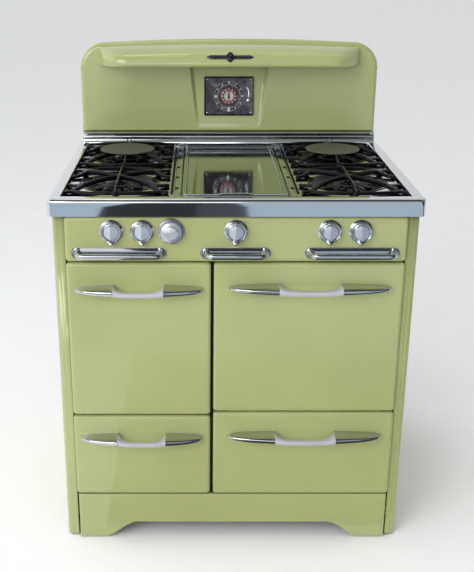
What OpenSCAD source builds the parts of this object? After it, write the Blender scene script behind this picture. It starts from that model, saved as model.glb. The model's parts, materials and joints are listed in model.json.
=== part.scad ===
// Freestanding gas range with a chromed cooktop, a centre griddle, a high backsplash with a clock,
// an oven with a broiler drawer under it, and a storage cupboard with a drawer under it.
// Inside place() the y axis starts at the front face of the chrome band and runs backwards.

/* [Overall] */
// Width of the chrome cooktop, which is the widest piece
cooktop_w = 914; // [900:1:920]
// Height of the cooktop's rim above the floor
rim_z = 952; // [948:1:960]
// Depth from the chrome band to the back panel
body_d = 736; // [734:1:740]
// Top of the backsplash at its middle
top_z = 1256.5; // [1250:0.5:1266]
// Width across the two side panels
body_w = 898; // [896:1:900]
// How far a door handle stands out in front of the chrome band
handle_reach = 38; // [36:1:42]

/* [Doors and drawers] */
// Width of the group of doors and drawers
fronts_w = 836; // [832:1:836]
// Left edge of the oven door
oven_x = -53.5; // [-55:0.5:-52]
// Right edge of the storage door
storage_x = -60.5; // [-62:0.5:-59]
// Bottom of the control panel
panel_z = 792; // [791:1:794]
// Bottom of the storage door
storage_split_z = 373; // [371:1:375]
// Bottom of the oven door
oven_split_z = 383; // [381:1:385]
// Top of the base skirt
skirt_z = 134; // [132:1:136]
// Gap between neighbouring fronts
gap = 3; // [2.8:0.1:3.4]
// Depth of a door's or drawer's pressed front
front_d = 22; // [20:1:22]
// Sheet thickness of the pressed fronts
sheet = 2; // [1.5:0.5:2]

/* [Cooktop] */
// Height of the chrome band round the cooktop
band_h = 43; // [40:1:46]
// Distance of a burner from the middle of the range
burner_x = 297; // [295:1:299]
// Distance of the front burners behind the band
burner_front_y = 218; // [214:1:222]
// Distance of the rear burners behind the band
burner_rear_y = 540; // [534:1:541]
// Half width of the griddle's opening
griddle_half_w = 137; // [135:1:138]

/* [Controls] */
// Height of the knob shafts
knob_z = 871; // [869:1:873]
// Distances of the burner knobs from the middle of the range
knob_xs = [-303, -228, 0, 228, 303];
// Distance of the oven thermostat from the middle of the range
thermostat_x = -157; // [-158:1:-156]
// Height of the chrome guards under the knobs
guard_z = 815; // [813:1:817]

/* [Hidden] */
$fn = 48;

enamel = "#b9bf86";
chrome = "#c9ccd2";
iron = "#17181c";
steel = "#8d8f92";
white = "#d9d9e2";
liner_blue = "#3b4048";

nipple = 24;                       // how far the gas nipple stands out behind the back panel
front_y = handle_reach - (body_d + nipple + handle_reach) / 2;  // the band's place in the part's own frame
face_y = 8;                        // front faces of doors, drawers and control panel
back_face_y = face_y + front_d;    // their rear edges
frame_y = 33;                      // front of the chassis face frame
frame_t = 3;
liner_y = frame_y + frame_t;       // fronts of the oven, broiler and storage liners
half_fronts = fronts_w / 2;
band_z = rim_z - band_h;
deck_z = rim_z - 12;               // pressed deck inside the rim
deck_t = 2;
floor_gap = 4;                     // the side panels stop this far above the floor
back_t = 3;
rail_y = 692;                      // front of the vent rail behind the cooktop
splash_y = 706;                    // front of the backsplash
splash_z = 984;                    // bottom of the backsplash
hole = 1;                          // how far a cut runs past the faces it opens
play = 0.3;                        // running clearance round pins and stems

storage_door = [-half_fronts, storage_x, storage_split_z, panel_z - gap];
oven_door = [oven_x, half_fronts, oven_split_z, panel_z - gap];
storage_drawer = [-half_fronts, storage_x, skirt_z + gap, storage_split_z - gap];
broiler_drawer = [oven_x, half_fronts, skirt_z + gap, oven_split_z - gap];

// Openings of the face frame, as x0, x1, z0, z1
storage_hole = [-390, -86, 392, 768];
oven_hole = [-24, 389, 406, 764];
storage_drawer_hole = [-396, -82, 152, 354];
broiler_hole = [-28, 393, 152, 358];

module place() { translate([0, front_y, 0]) children(); }

// A box between two x, two y and two z values
module block(x0, x1, y0, y1, z0, z1) {
    translate([x0, y0, z0]) cube([x1 - x0, y1 - y0, z1 - z0]);
}

// A cylinder that runs backwards from y0 to y1
module rod_y(x, z, r, y0, y1) {
    translate([x, y0, z]) rotate([-90, 0, 0]) cylinder(r = r, h = y1 - y0);
}

// A cylinder that runs to the right from x0 to x1
module rod_x(y, z, r, x0, x1) {
    translate([x0, y, z]) rotate([0, 90, 0]) cylinder(r = r, h = x1 - x0);
}

module both_sides() {
    children();
    mirror([1, 0, 0]) children();
}

/* ---- chassis ---- */

rail_h = 40;
rail_t = 25;
rail_z = 62;

module base_frame() {
    color(steel) {
        difference() {
            block(-440, 440, 70, 725, rail_z, rail_z + rail_h);
            block(-440 + rail_t, 440 - rail_t, 70 + rail_t, 725 - rail_t,
                  rail_z - hole, rail_z + rail_h + hole);
        }
        block(-440, 440, 70, 725, rail_z + rail_h, rail_z + rail_h + 2);
    }
}

foot_r = 16;

module levelling_feet() {
    color(iron)
        for (x = [-420, 420], y = [95, 700]) translate([x, y, 0]) {
            cylinder(r = foot_r, h = 12);
            translate([0, 0, 12]) cylinder(r = 6, h = rail_z - 12);
        }
}

skirt_half_w = 414;
skirt_y = 10;
skirt_bottom = 2;
arch_z = 48;
arch_in = 266;   // the arch is level out to here
arch_out = 341;  // and meets the floor here

// Height of the skirt's lower edge, which falls in a smooth S from the arch to the foot
function arch(t) = arch_z - (arch_z - skirt_bottom) * (1 - pow(1 - t, 0.62)) * (0.75 + 0.25 * t);

module skirt_outline() {
    steps = 12;
    run = arch_out - arch_in;
    right = [for (i = [0:steps]) [arch_in + run * i / steps, i == steps ? skirt_bottom : arch(i / steps)]];
    left = [for (i = [steps:-1:0]) [-right[i][0], right[i][1]]];
    polygon(concat([[-skirt_half_w, skirt_z], [-skirt_half_w, skirt_bottom]], left, right,
                   [[skirt_half_w, skirt_bottom], [skirt_half_w, skirt_z]]));
}

module base_skirt() {
    color(enamel) {
        translate([0, skirt_y + 3, 0]) rotate([90, 0, 0]) linear_extrude(3) skirt_outline();
        block(-skirt_half_w, skirt_half_w, skirt_y + 3, 32, skirt_z - 3, skirt_z);
        both_sides() block(skirt_half_w - 3, skirt_half_w, skirt_y + 3, 32, skirt_bottom, skirt_z - 3);
    }
}

corner_r = 20;
corner_y = 20;  // front of the side panels' corners

module side_panel_outline() {
    outer_x = body_w / 2;
    cx = outer_x - corner_r;
    cy = corner_y + corner_r;
    wall = 3;
    difference() {
        union() {
            translate([cx, cy]) circle(r = corner_r);
            translate([cx, cy]) square([corner_r, body_d - back_t - cy]);
            translate([half_fronts + 2, corner_y]) square([cx - half_fronts - 2, corner_r]);
        }
        translate([cx, cy]) circle(r = corner_r - wall);
        translate([cx - corner_r, cy]) square([2 * corner_r - wall, body_d]);
        translate([cx - corner_r, corner_y + wall]) square([corner_r, corner_r]);
    }
}

module side_panel() {
    color(enamel) translate([0, 0, floor_gap]) linear_extrude(band_z - floor_gap - 1) side_panel_outline();
}

gas_x = 431;       // pipe run down the right side to the inlet
pipe_r = 10.67;   // half-inch iron pipe

module back_panel() {
    color(steel) difference() {
        union() {
            block(-447, 447, body_d - back_t, body_d, rail_z, splash_z + 20);
            splash_solid(2, body_d - back_t, body_d);
        }
        rod_y(gas_x, knob_z, 13, body_d - back_t - hole, body_d + hole);
        for (i = [0:6]) block(-260, 60, body_d - back_t - hole, body_d + hole, 560 + 26 * i, 568 + 26 * i);
    }
}

module frame_hole(h) { block(h[0], h[1], frame_y - hole, frame_y + frame_t + hole, h[2], h[3]); }

pivot_y = face_y + 6;
pivot_up = 6;      // hinge axis above a door's lower edge
pin_r = 3;
ear_t = 4;
ear_in = 20;       // hinge ears stand this far inside a door's ends

module hinge_ears(door) {
    z = door[2] + pivot_up;
    for (x = [door[0] + ear_in, door[1] - ear_in]) {
        block(x - ear_t / 2, x + ear_t / 2, pivot_y, frame_y, z - 3.5, z + 3.5);
        rod_x(pivot_y, z, 3.5, x - ear_t / 2, x + ear_t / 2);
        rod_x(pivot_y, z, pin_r, x - 12, x + 12);
    }
}

module front_frame() {
    color(steel) {
        difference() {
            block(-444, 444, frame_y, frame_y + frame_t, 104, band_z - 3);
            frame_hole(storage_hole);
            frame_hole(oven_hole);
            frame_hole(storage_drawer_hole);
            frame_hole(broiler_hole);
            frame_hole([-405, 405, 800, 898]);
        }
        hinge_ears(storage_door);
        hinge_ears(oven_door);
    }
}

/* ---- liners and inner parts ---- */

// An open-fronted box of sheet around an inner space
module liner(x0, x1, z0, z1, depth, wall) {
    difference() {
        block(x0 - wall, x1 + wall, liner_y, liner_y + depth + wall, z0 - wall, z1 + wall);
        block(x0, x1, liner_y - hole, liner_y + depth, z0, z1);
    }
}

liner_wall = 2.5;
oven_depth = 524;
oven_base_z = 378;  // the oven liner runs down past the oven floor to the burner
rack_levels = [470, 550, 630];

module oven_liner() {
    color(liner_blue) {
        difference() {
            liner(oven_hole[0], oven_hole[1], oven_base_z, oven_hole[3], oven_depth, liner_wall);
            block(20, 345, 90, 500, oven_base_z - liner_wall - hole, oven_base_z + hole);
            block(150, 215, 470, 540, oven_hole[3] - hole, oven_hole[3] + liner_wall + hole);
        }
        for (z = rack_levels) {
            block(oven_hole[0], oven_hole[0] + 9, 60, 540, z, z + 4);
            block(oven_hole[1] - 9, oven_hole[1], 60, 540, z, z + 4);
        }
        block(oven_hole[0], oven_hole[0] + 8, 60, 540, 400, 404);
        block(oven_hole[1] - 8, oven_hole[1], 60, 540, 400, 404);
    }
}

module oven_floor() {
    color(liner_blue) difference() {
        block(oven_hole[0] + 2, oven_hole[1] - 2, 42, 552, 404.2, 407);
        for (i = [0:7], x = [14, 339]) block(x, x + 12, 80 + 56 * i, 115 + 56 * i, 403, 408);
    }
}

module oven_burner() {
    x = (oven_hole[0] + oven_hole[1]) / 2;
    color(iron) {
        difference() {
            rod_y(x, 389, 11, 100, 500);
            rod_y(x, 389, 8.5, 99, 494);
        }
        for (side = [-1, 1]) block(x + side * 40 - 40, x + side * 40 + 40, 290, 302, 383, 389);
    }
}

module broiler_liner() {
    color(liner_blue) difference() {
        block(broiler_hole[0] - 2, broiler_hole[1] + 2, liner_y, 602, 146, 358);
        block(broiler_hole[0], broiler_hole[1], liner_y - hole, 600, 152, 360);
    }
}

module storage_liner() {
    color(enamel) liner(storage_hole[0], storage_hole[1], storage_hole[2], storage_hole[3], 600, 2);
}

runner_h = 26;

module runner(x, side) {
    block(min(x, x + 2 * side), max(x, x + 2 * side), liner_y + 1, 640, 155, 155 + runner_h);
    block(min(x, x + 9 * side), max(x, x + 9 * side), liner_y + 1, 640, 155, 157);
}

module drawer_runners() {
    color(steel) {
        runner(storage_drawer_hole[0], 1);
        runner(storage_drawer_hole[1], -1);
        translate([0, 0, 0.5]) intersection() {
            union() {
                runner(broiler_hole[0] + 0.5, 1);
                runner(broiler_hole[1] - 0.5, -1);
            }
            block(-500, 500, 0, 596, 0, 400);
        }
    }
}

module flue_duct() {
    color(steel) {
        difference() {
            block(146, 219, 466, 544, oven_hole[3] + liner_wall + 0.2, 800);
            block(148, 217, 468, 542, oven_hole[3], 801);
        }
        difference() {
            block(146, 219, 466, 729, 800, 850);
            block(148, 217, 464, 727, 802, 848);
            block(148, 217, 468, 542, 799, 803);
            block(148, 217, 699, 727, 847, 851);
        }
        difference() {
            block(146, 219, 697, 729, 850, 946);
            block(148, 217, 699, 727, 849, 947);
        }
    }
}

/* ---- gas train ---- */

pipe_y = 62;

module manifold_pipe() {
    color(steel) {
        difference() {
            rod_x(pipe_y, knob_z, pipe_r, -340, gas_x);
            rod_x(pipe_y, knob_z, pipe_r - 2.5, -338, gas_x - 12);
        }
        translate([gas_x, pipe_y, knob_z]) sphere(r = pipe_r + 2);
        difference() {
            union() {
                rod_y(gas_x, knob_z, pipe_r, pipe_y, body_d + nipple);
                rod_y(gas_x, knob_z, 14, 716, 730);
            }
            rod_y(gas_x, knob_z, pipe_r - 2.5, pipe_y + 12, body_d + nipple + hole);
        }
    }
}

stem_r = 4;

module valve(x) {
    difference() {
        union() {
            block(x - 11, x + 11, 38, 66, knob_z - 13, knob_z + 32);
            rod_y(x, knob_z + 25, 5, 60, 78);
            rod_y(x, knob_z, stem_r, -4, 40);
        }
        rod_x(pipe_y, knob_z, pipe_r + 0.1, x - 20, x + 20);
        block(x - 20, x + 20, pipe_y, 90, knob_z - 20, knob_z + 12);
    }
}

module gas_valves() {
    color("#a58f55") {
        for (x = knob_xs) valve(x);
        difference() {
            union() {
                block(thermostat_x - 22, thermostat_x + 22, 38, 68, knob_z - 24, knob_z + 24);
                rod_y(thermostat_x, knob_z, stem_r, -4, 40);
            }
            rod_x(pipe_y, knob_z, pipe_r + 0.1, thermostat_x - 30, thermostat_x + 30);
            block(thermostat_x - 30, thermostat_x + 30, pipe_y, 90, knob_z - 30, knob_z + 30);
        }
    }
}

tube_z = knob_z + 25;
burner_r = 36;

module burner_head() {
    difference() {
        cylinder(r = burner_r, h = 18);
        translate([0, 0, 4]) cylinder(r = burner_r - 5, h = 15);
        for (i = [0:15]) rotate([0, 0, 22.5 * i]) translate([burner_r - 8, -1.5, 10]) cube([12, 3, 4]);
    }
    translate([0, 0, 18]) cylinder(r1 = burner_r, r2 = burner_r - 6, h = 5);
    translate([0, 0, -14]) cylinder(r = 13.5, h = 15);
}

module top_burner(x, y, feed_x) {
    translate([x, y, 916]) burner_head();
    difference() {
        union() {
            rod_y(feed_x, tube_z, 10, 84, y);
            if (abs(x - feed_x) > 20) rod_x(y, tube_z, 9.5, min(x, feed_x), max(x, feed_x));
            translate([x, y, tube_z - 11]) cylinder(r = 12.5, h = 18);
        }
        rod_y(feed_x, tube_z, 8, 83, y - 30);
    }
}

module top_burners() {
    color(iron) for (s = [-1, 1]) {
        top_burner(s * burner_x, burner_front_y, s * 303);
        top_burner(s * burner_x, burner_rear_y, s * 228);
    }
}

module griddle_burner() {
    color(iron) {
        difference() {
            rod_y(0, tube_z, 10, 84, 600);
            rod_y(0, tube_z, 8, 83, 594);
        }
        for (x = [-70, 70]) rod_y(x, tube_z + 6, 9, 140, 600);
        rod_x(370, tube_z + 3, 9, -70, 70);
    }
}

/* ---- cooktop ---- */

bowl_r = 98;
rim_w = 22;       // level border round the pressed deck
edge_r = 16;

module plate_2d(w, y0, y1, r) {
    for (sx = [-1, 1], y = [y0 + r, y1 - r]) translate([sx * (w / 2 - r), y]) circle(r = r);
    translate([-w / 2, y0 + r]) square([w, y1 - y0 - 2 * r]);
    translate([-w / 2 + r, y0]) square([w - 2 * r, y1 - y0]);
}

module burner_holes(r) {
    for (x = [-burner_x, burner_x], y = [burner_front_y, burner_rear_y]) translate([x, y]) circle(r = r);
}

module cooktop() {
    wall = 2;
    color(chrome) {
        // band: front and sides
        translate([0, 0, band_z]) linear_extrude(band_h - 4) difference() {
            plate_2d(cooktop_w, 0, splash_y, edge_r);
            translate([0, wall]) plate_2d(cooktop_w - 2 * wall, 0, splash_y + 40, edge_r - wall);
        }
        // level rim with a lower deck inside it
        translate([0, 0, rim_z - 4]) linear_extrude(4) difference() {
            plate_2d(cooktop_w, 0, splash_y, edge_r);
            translate([0, rim_w]) plate_2d(cooktop_w - 2 * rim_w, 0, rail_y - 2 * rim_w + 22, 12);
        }
        translate([0, 0, deck_z]) linear_extrude(rim_z - 4 - deck_z) difference() {
            translate([0, rim_w - 2]) plate_2d(cooktop_w - 2 * rim_w + 4, 0, rail_y - 2 * rim_w + 26, 14);
            translate([0, rim_w]) plate_2d(cooktop_w - 2 * rim_w, 0, rail_y - 2 * rim_w + 22, 12);
        }
        translate([0, 0, deck_z - deck_t]) linear_extrude(deck_t) difference() {
            translate([0, rim_w - 2]) plate_2d(cooktop_w - 2 * rim_w + 4, 0, rail_y - 2 * rim_w + 26, 14);
            burner_holes(bowl_r);
            translate([-griddle_half_w - 4, 50]) square([2 * griddle_half_w + 8, 638]);
            for (s = [-1, 1]) translate([s * 158 - 2, 96]) square([4, 582]);
        }
    }
}

module burner_bowls() {
    color(iron) for (x = [-burner_x, burner_x], y = [burner_front_y, burner_rear_y]) translate([x, y, 0])
        rotate_extrude() polygon([[40, 922], [72, 922], [96, deck_z], [104, deck_z], [104, deck_z + 1.5],
                                  [94.6, deck_z + 1.5], [71, 923.8], [40, 923.8]]);
}

module griddle_frame() {
    color(chrome) difference() {
        union() {
            block(-griddle_half_w - 15, griddle_half_w + 15, 46, 690, deck_z + 0.1, deck_z + 2.5);
            block(-griddle_half_w - 3, griddle_half_w + 3, 51, 687, deck_z - 16, deck_z + 0.1);
        }
        block(-griddle_half_w, griddle_half_w, 54, 684, deck_z - 12, deck_z + 4);
        block(-griddle_half_w + 8, griddle_half_w - 8, 62, 676, deck_z - 17, deck_z + 4);
        for (s = [-1, 1], i = [0:4])
            translate([s * 147, 150 + 120 * i, deck_z - 3]) cylinder(r = 4, h = 8);
    }
}

module griddle_plate() {
    color(steel) difference() {
        block(-griddle_half_w + 1, griddle_half_w - 1, 55, 683, deck_z - 11.8, deck_z - 4);
        block(-griddle_half_w + 12, griddle_half_w - 12, 66, 672, deck_z - 7, deck_z + 1);
    }
}

module griddle_cover() {
    color(chrome) {
        block(-griddle_half_w + 3, griddle_half_w - 3, 58, 680, deck_z + 3, deck_z + 5);
        difference() {
            block(-griddle_half_w + 3, griddle_half_w - 3, 58, 680, deck_z - 3.8, deck_z + 3);
            block(-griddle_half_w + 5, griddle_half_w - 5, 60, 678, deck_z - 5, deck_z + 3);
        }
        block(-griddle_half_w + 12, griddle_half_w - 12, 640, 646, deck_z + 5, deck_z + 8);
        block(-60, 60, 64, 76, deck_z + 5, deck_z + 11);
    }
}

module vent_rail() {
    color(chrome) difference() {
        block(-443, 443, rail_y, splash_y, rim_z + 0.2, splash_z);
        block(-438, 438, rail_y + 2, splash_y - 2, rim_z - 1, splash_z - 2);
        block(-430, 430, rail_y - hole, rail_y + 3, 975, 979);
        block(148, 217, rail_y + 2.5, splash_y + hole, rim_z - 1, rim_z + 22);
    }
}

/* ---- grates and covers ---- */

bar = 9;
prong_x = 127;
prong_ys = [46, 122];  // each corner forks into two prongs, this far from the casting's middle

// Two points joined by a round-edged bar, arched up towards the casting's middle
module grate_bar(a, b, h = 11) {
    hull() {
        translate(a) cylinder(r = bar / 2, h = h, $fn = 16);
        translate(b) cylinder(r = bar / 2, h = h, $fn = 16);
    }
}

module grate_quarter() {
    hub = [0, 0, 9];
    neck = [94, 84, 4];
    grate_bar(hub, neck);
    for (y = prong_ys) grate_bar(neck, [prong_x, y, 0]);
    grate_bar([prong_x - 8, prong_ys[1], 0], [52, 136, 1]);
    grate_bar([52, 136, 1], [0, 141, 1]);
}

module grate() {
    color(iron) {
        for (sx = [0, 1], sy = [0, 1]) mirror([sx, 0, 0]) mirror([0, sy, 0]) grate_quarter();
        for (sy = [0, 1]) mirror([0, sy, 0]) {
            grate_bar([0, 141, 1], [0, 0, 9]);
            translate([0, 145, 0]) cylinder(r = 7, h = 13, $fn = 24);
        }
        cylinder(r = 11, h = 21, $fn = 24);
    }
}

grate_z = deck_z + 1.7;

module placed_grate(sx, y) { translate([sx * burner_x, y, grate_z]) grate(); }

cover_z = grate_z + 21.3;
cover_r = 78;

module burner_cover(sx) {
    color(iron) translate([sx * burner_x, burner_rear_y, cover_z]) {
        cylinder(r = cover_r, h = 3);
        translate([0, cover_r + 2, 9]) rotate([90, 0, 0]) difference() {
            cylinder(r = 8, h = 3);
            translate([0, 0, -hole]) cylinder(r = 4, h = 5);
        }
    }
}

/* ---- backsplash ---- */

splash_w = 888;
splash_r = 75;
shelf_reach = 96;   // the shelf's lip stands this far out
shelf_z = 1185;     // underside of the lip
shelf_half_w = 374;
splash_d = body_d - splash_y - back_t;
shell = 3;

// Front view of the backsplash, with round shoulders under an arched top
module splash_outline(inset) {
    w = splash_w / 2 - inset;
    r = splash_r - inset;
    shoulder_z = top_z - 10 - inset;
    steps = 10;
    arc = [for (i = [0:steps]) let (a = 90 - 90 * i / steps)
              [w - r + r * sin(a), shoulder_z - r + r * cos(a)]];
    crown = [for (i = [1:2 * steps - 1]) let (t = 1 - i / steps)
                [t * (w - r), shoulder_z + 10 * (1 - t * t)]];
    back = [for (i = [steps:-1:0]) [-arc[i][0], arc[i][1]]];
    polygon(concat([[-w, splash_z + inset], [w, splash_z + inset]], arc, crown, back));
}

module splash_solid(inset, y0, y1) {
    translate([0, y1, 0]) rotate([90, 0, 0]) linear_extrude(y1 - y0) splash_outline(inset);
}

// Side profile of the shelf: a rounded nose that sweeps up and back to the panel
function shelf_top(t, inset) = [splash_y + 1 + inset - shelf_reach * sqrt(1 - t * t),
                               shelf_z + 12 + (top_z - 22 - shelf_z - inset) * t];

module shelf_profile(inset) {
    steps = 10;
    nose = [for (i = [0:steps]) shelf_top(i / steps, inset)];
    polygon(concat([[splash_y + 1 + inset, shelf_z + inset],
                    [splash_y - shelf_reach + 10 + inset, shelf_z + inset]], nose));
}

module shelf(inset) {
    w = shelf_half_w - inset;
    translate([-w, 0, 0]) rotate([90, 0, 90]) linear_extrude(2 * w) shelf_profile(inset);
}

clock_z = 1088.5;
recess_top = 120;
recess_bottom = 98;
recess_depth = 22;

// Wedge that lets the clock panel lean back under the shelf
module recess(grow) {
    z0 = splash_z + 12;
    z1 = shelf_z + 0.5;
    polyhedron(
        points = [[-recess_bottom - grow, splash_y - 0.1, z0 - grow],
                  [recess_bottom + grow, splash_y - 0.1, z0 - grow],
                  [recess_top + grow, splash_y - 0.1, z1], [-recess_top - grow, splash_y - 0.1, z1],
                  [-recess_bottom - grow + 4, splash_y + grow + 0.5, z0 - grow],
                  [recess_bottom + grow - 4, splash_y + grow + 0.5, z0 - grow],
                  [recess_top + grow - 12, splash_y + recess_depth + grow, z1],
                  [-recess_top - grow + 12, splash_y + recess_depth + grow, z1]],
        faces = [[3, 2, 1, 0], [4, 5, 6, 7], [0, 1, 5, 4], [1, 2, 6, 5], [2, 3, 7, 6], [3, 0, 4, 7]]);
}

module backsplash() {
    color(enamel) difference() {
        union() {
            difference() {
                union() {
                    splash_solid(0, splash_y, splash_y + splash_d);
                    shelf(0);
                }
                splash_solid(shell, splash_y + shell, body_d);
                shelf(shell);
            }
            difference() {
                recess(2);
                block(-500, 500, 0, splash_y, 0, 1500);
            }
        }
        recess(0);
    }
}

clock_tilt = atan((recess_depth - 0.5) / (shelf_z - splash_z - 11.5));
clock_w = 150;
clock_h = 116;

// Puts children on the leaning clock panel, with x across, y up the panel and z out of it
module on_clock() {
    rise = clock_z - splash_z - 12;
    lean_y = splash_y + 0.5 + (recess_depth - 0.5) * rise / (shelf_z + 0.5 - splash_z - 12);
    translate([0, lean_y, clock_z]) rotate([90 - clock_tilt, 0, 0]) children();
}

module clock_plate() {
    color(chrome) on_clock() {
        translate([-clock_w / 2, -clock_h / 2, 0.4]) cube([clock_w, clock_h, 3]);
        translate([0, 0, 3.4]) difference() {
            translate([-clock_w / 2, -clock_h / 2, 0]) cube([clock_w, clock_h, 4]);
            translate([-clock_w / 2 + 3, -clock_h / 2 + 3, -hole]) cube([clock_w - 6, clock_h - 6, 8]);
        }
        translate([0, 0, 3.4]) cylinder(r = 2.5, h = 8);
        translate([60, -6, 3.4]) cylinder(r = 5, h = 5);
        translate([57.5, -8, 8.4]) cube([5, 34, 3]);
    }
}

module clock_dial() {
    color("#8c2f36") on_clock() translate([0, 0, 3.6]) difference() {
        cylinder(r = 25, h = 3);
        translate([0, 0, -hole]) cylinder(r = 2.5 + play, h = 6);
    }
}

module timer_ring() {
    color(chrome) on_clock() translate([0, 0, 3.7]) difference() {
        cylinder(r = 45, h = 2.6);
        translate([0, 0, -hole]) cylinder(r = 25 + play, h = 5);
    }
}

module clock_hand(level, length, width) {
    on_clock() translate([0, 0, level]) difference() {
        union() {
            cylinder(r = 5, h = 1);
            linear_extrude(1) polygon([[-width, 0], [-width * 0.4, length * 0.75], [0, length],
                                       [width * 0.4, length * 0.75], [width, 0]]);
        }
        translate([0, 0, -hole]) cylinder(r = 2.5 + play, h = 4);
    }
}

module hour_hand() { color(iron) on_hour() clock_hand(7, 15, 3.5); }
module minute_hand() { color(iron) clock_hand(8.6, 21, 2.6); }

// The hour hand points at six o'clock
module on_hour() {
    multmatrix(clock_turn(180)) children();
}

// Turn about the clock's shaft
function clock_turn(a) =
    let (rise = clock_z - splash_z - 12,
         cy = splash_y + 0.5 + (recess_depth - 0.5) * rise / (shelf_z + 0.5 - splash_z - 12),
         n = [0, -cos(clock_tilt), sin(clock_tilt)], c = cos(a), s = sin(a), v = 1 - c,
         m = [[c + n[0] * n[0] * v, n[0] * n[1] * v - n[2] * s, n[0] * n[2] * v + n[1] * s],
              [n[1] * n[0] * v + n[2] * s, c + n[1] * n[1] * v, n[1] * n[2] * v - n[0] * s],
              [n[2] * n[0] * v - n[1] * s, n[2] * n[1] * v + n[0] * s, c + n[2] * n[2] * v]],
         p = [0, cy, clock_z], q = p - m * p)
    [[m[0][0], m[0][1], m[0][2], q[0]], [m[1][0], m[1][1], m[1][2], q[1]], [m[2][0], m[2][1], m[2][2], q[2]]];

module emblem() {
    t = 0.33;  // how far up the nose it sits
    place_on_nose = shelf_top(t, 0);
    lean = atan(shelf_reach * t / sqrt(1 - t * t) / (top_z - 22 - shelf_z));
    color(chrome) translate([0, place_on_nose[0] - 0.2, place_on_nose[1]]) rotate([90 - lean, 0, 0]) {
        linear_extrude(3) polygon([[-69, 0], [-60, 6.5], [60, 6.5], [69, 0], [60, -6.5], [-60, -6.5]]);
        cylinder(r = 13, h = 5);
    }
}

/* ---- pressed fronts ---- */

// A pressed sheet pan that is open at the back
module front_pan(f) {
    difference() {
        block(f[0], f[1], face_y, back_face_y, f[2], f[3]);
        block(f[0] + sheet, f[1] - sheet, face_y + sheet, back_face_y + hole, f[2] + sheet, f[3] - sheet);
    }
}

module ear_notches(f, top) {
    for (x = [f[0] + ear_in, f[1] - ear_in])
        block(x - ear_t / 2 - 1.5, x + ear_t / 2 + 1.5, face_y + sheet, back_face_y + 20,
              f[2] - hole, f[2] + top);
}

module door_skin(f) {
    color(enamel) difference() {
        front_pan(f);
        ear_notches(f, sheet + 0.5);
    }
}

// Inner door panel with a plug for the opening and the hinge barrels on its lower edge
module door_liner(f, hole_size, plug_d) {
    side = 5;
    color(liner_blue) {
        difference() {
            union() {
                block(f[0] + sheet, f[1] - sheet, back_face_y - 2, back_face_y, f[2] + sheet, f[3] - sheet);
                block(hole_size[0] + side, hole_size[1] - side, back_face_y, back_face_y + plug_d,
                      hole_size[2] + side, hole_size[3] - side);
            }
            ear_notches(f, 16);
            block(hole_size[0] + side + 2, hole_size[1] - side - 2, back_face_y - 3, back_face_y + plug_d - 2,
                  hole_size[2] + side + 2, hole_size[3] - side - 2);
        }
        for (x = [f[0] + ear_in, f[1] - ear_in], s = [-1, 1])
            difference() {
                x0 = x + s * (ear_t / 2 + 1.5);
                block(min(x0, x0 + s * 12), max(x0, x0 + s * 12), face_y + sheet, back_face_y - 2,
                      f[2] + sheet, f[2] + 12);
                rod_x(pivot_y, f[2] + pivot_up, pin_r + play, x - 40, x + 40);
            }
    }
}

module drawer_front(f) { color(enamel) front_pan(f); }

/* ---- handles ---- */

handle_h = 22;
handle_p = face_y + handle_reach;   // reach from the door's face

// How far the handle stands out at distance x from its middle, on a blunt oval of half length a
function oval(x, a) = handle_p * pow(max(0, 1 - pow(abs(x) / a, 2.5)), 0.4);
function taper(x, a) = handle_h / 2 * pow(max(0, 1 - pow(abs(x) / a, 2.2)), 0.55);

// One D-shaped section of an end cap, as points in x, y, z
function cap_ring(x, a, n) = [for (i = [0:n]) let (t = 180 * i / n)
    [x, face_y - max(1.2, oval(x, a)) * sin(t) * (0.86 + 0.14 * sin(t)), -max(1, taper(x, a)) * cos(t)]];

module end_cap(a, grip) {
    stations = 9;
    n = 10;
    xs = [for (i = [0:stations]) grip + (a - grip) * sin(90 * i / stations)];
    points = [for (x = xs) each cap_ring(min(x, a - 0.4), a, n)];
    m = n + 1;
    polyhedron(points = points, faces = concat(
        [[for (i = [n:-1:0]) i]],
        [[for (i = [0:n]) stations * m + i]],
        [for (s = [0:stations - 1], i = [0:n]) let (j = (i + 1) % m)
            [s * m + j, (s + 1) * m + j, (s + 1) * m + i, s * m + i]]));
}

module grip(a, half) {
    steps = 14;
    outer = [for (i = [-steps:steps]) let (x = half * i / steps) [x, face_y - oval(x, a)]];
    inner_half = half - 7;
    inner = [for (i = [steps:-1:-steps]) let (x = inner_half * i / steps)
        [x, face_y - (handle_p - 15) * pow(max(0, 1 - pow(abs(x) / inner_half, 2.6)), 0.6)]];
    translate([0, 0, -handle_h / 2 + 0.5]) linear_extrude(handle_h - 1)
        polygon(concat([[-half, face_y]], outer, [[half, face_y]], inner));
}

module handle(x, z, a, half) {
    translate([x, 0, z]) {
        color(white) grip(a, half);
        color(chrome) for (s = [0, 1]) mirror([s, 0, 0]) end_cap(a, half + 0.05);
    }
}

door_handle_z = 722;
drawer_handle_z = 310;
small_handle = [161, 60];
large_handle = [203, 79];

function middle(f) = (f[0] + f[1]) / 2;

/* ---- drawers ---- */

module storage_drawer_box() {
    color(steel) difference() {
        block(-386, -92, back_face_y + 0.3, 620, 160, 318);
        block(-384, -94, back_face_y + 2.3, 618, 162, 319);
    }
}

module broiler_drawer_carriage() {
    color(steel) {
        difference() {
            block(-16, 381, back_face_y + 0.3, 580, 162, 250);
            block(-14, 379, back_face_y + 2.3, 578, 166, 251);
            block(4, 361, 60, 560, 161, 167);
        }
    }
}

module broiler_pan() {
    color(liner_blue) {
        difference() {
            block(2, 363, 50, 540, 170.2, 206);
            block(4, 361, 52, 538, 172.2, 207);
        }
        difference() {
            block(-8, 373, 40, 550, 206, 208);
            block(4, 361, 52, 538, 205, 209);
        }
    }
}

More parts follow.
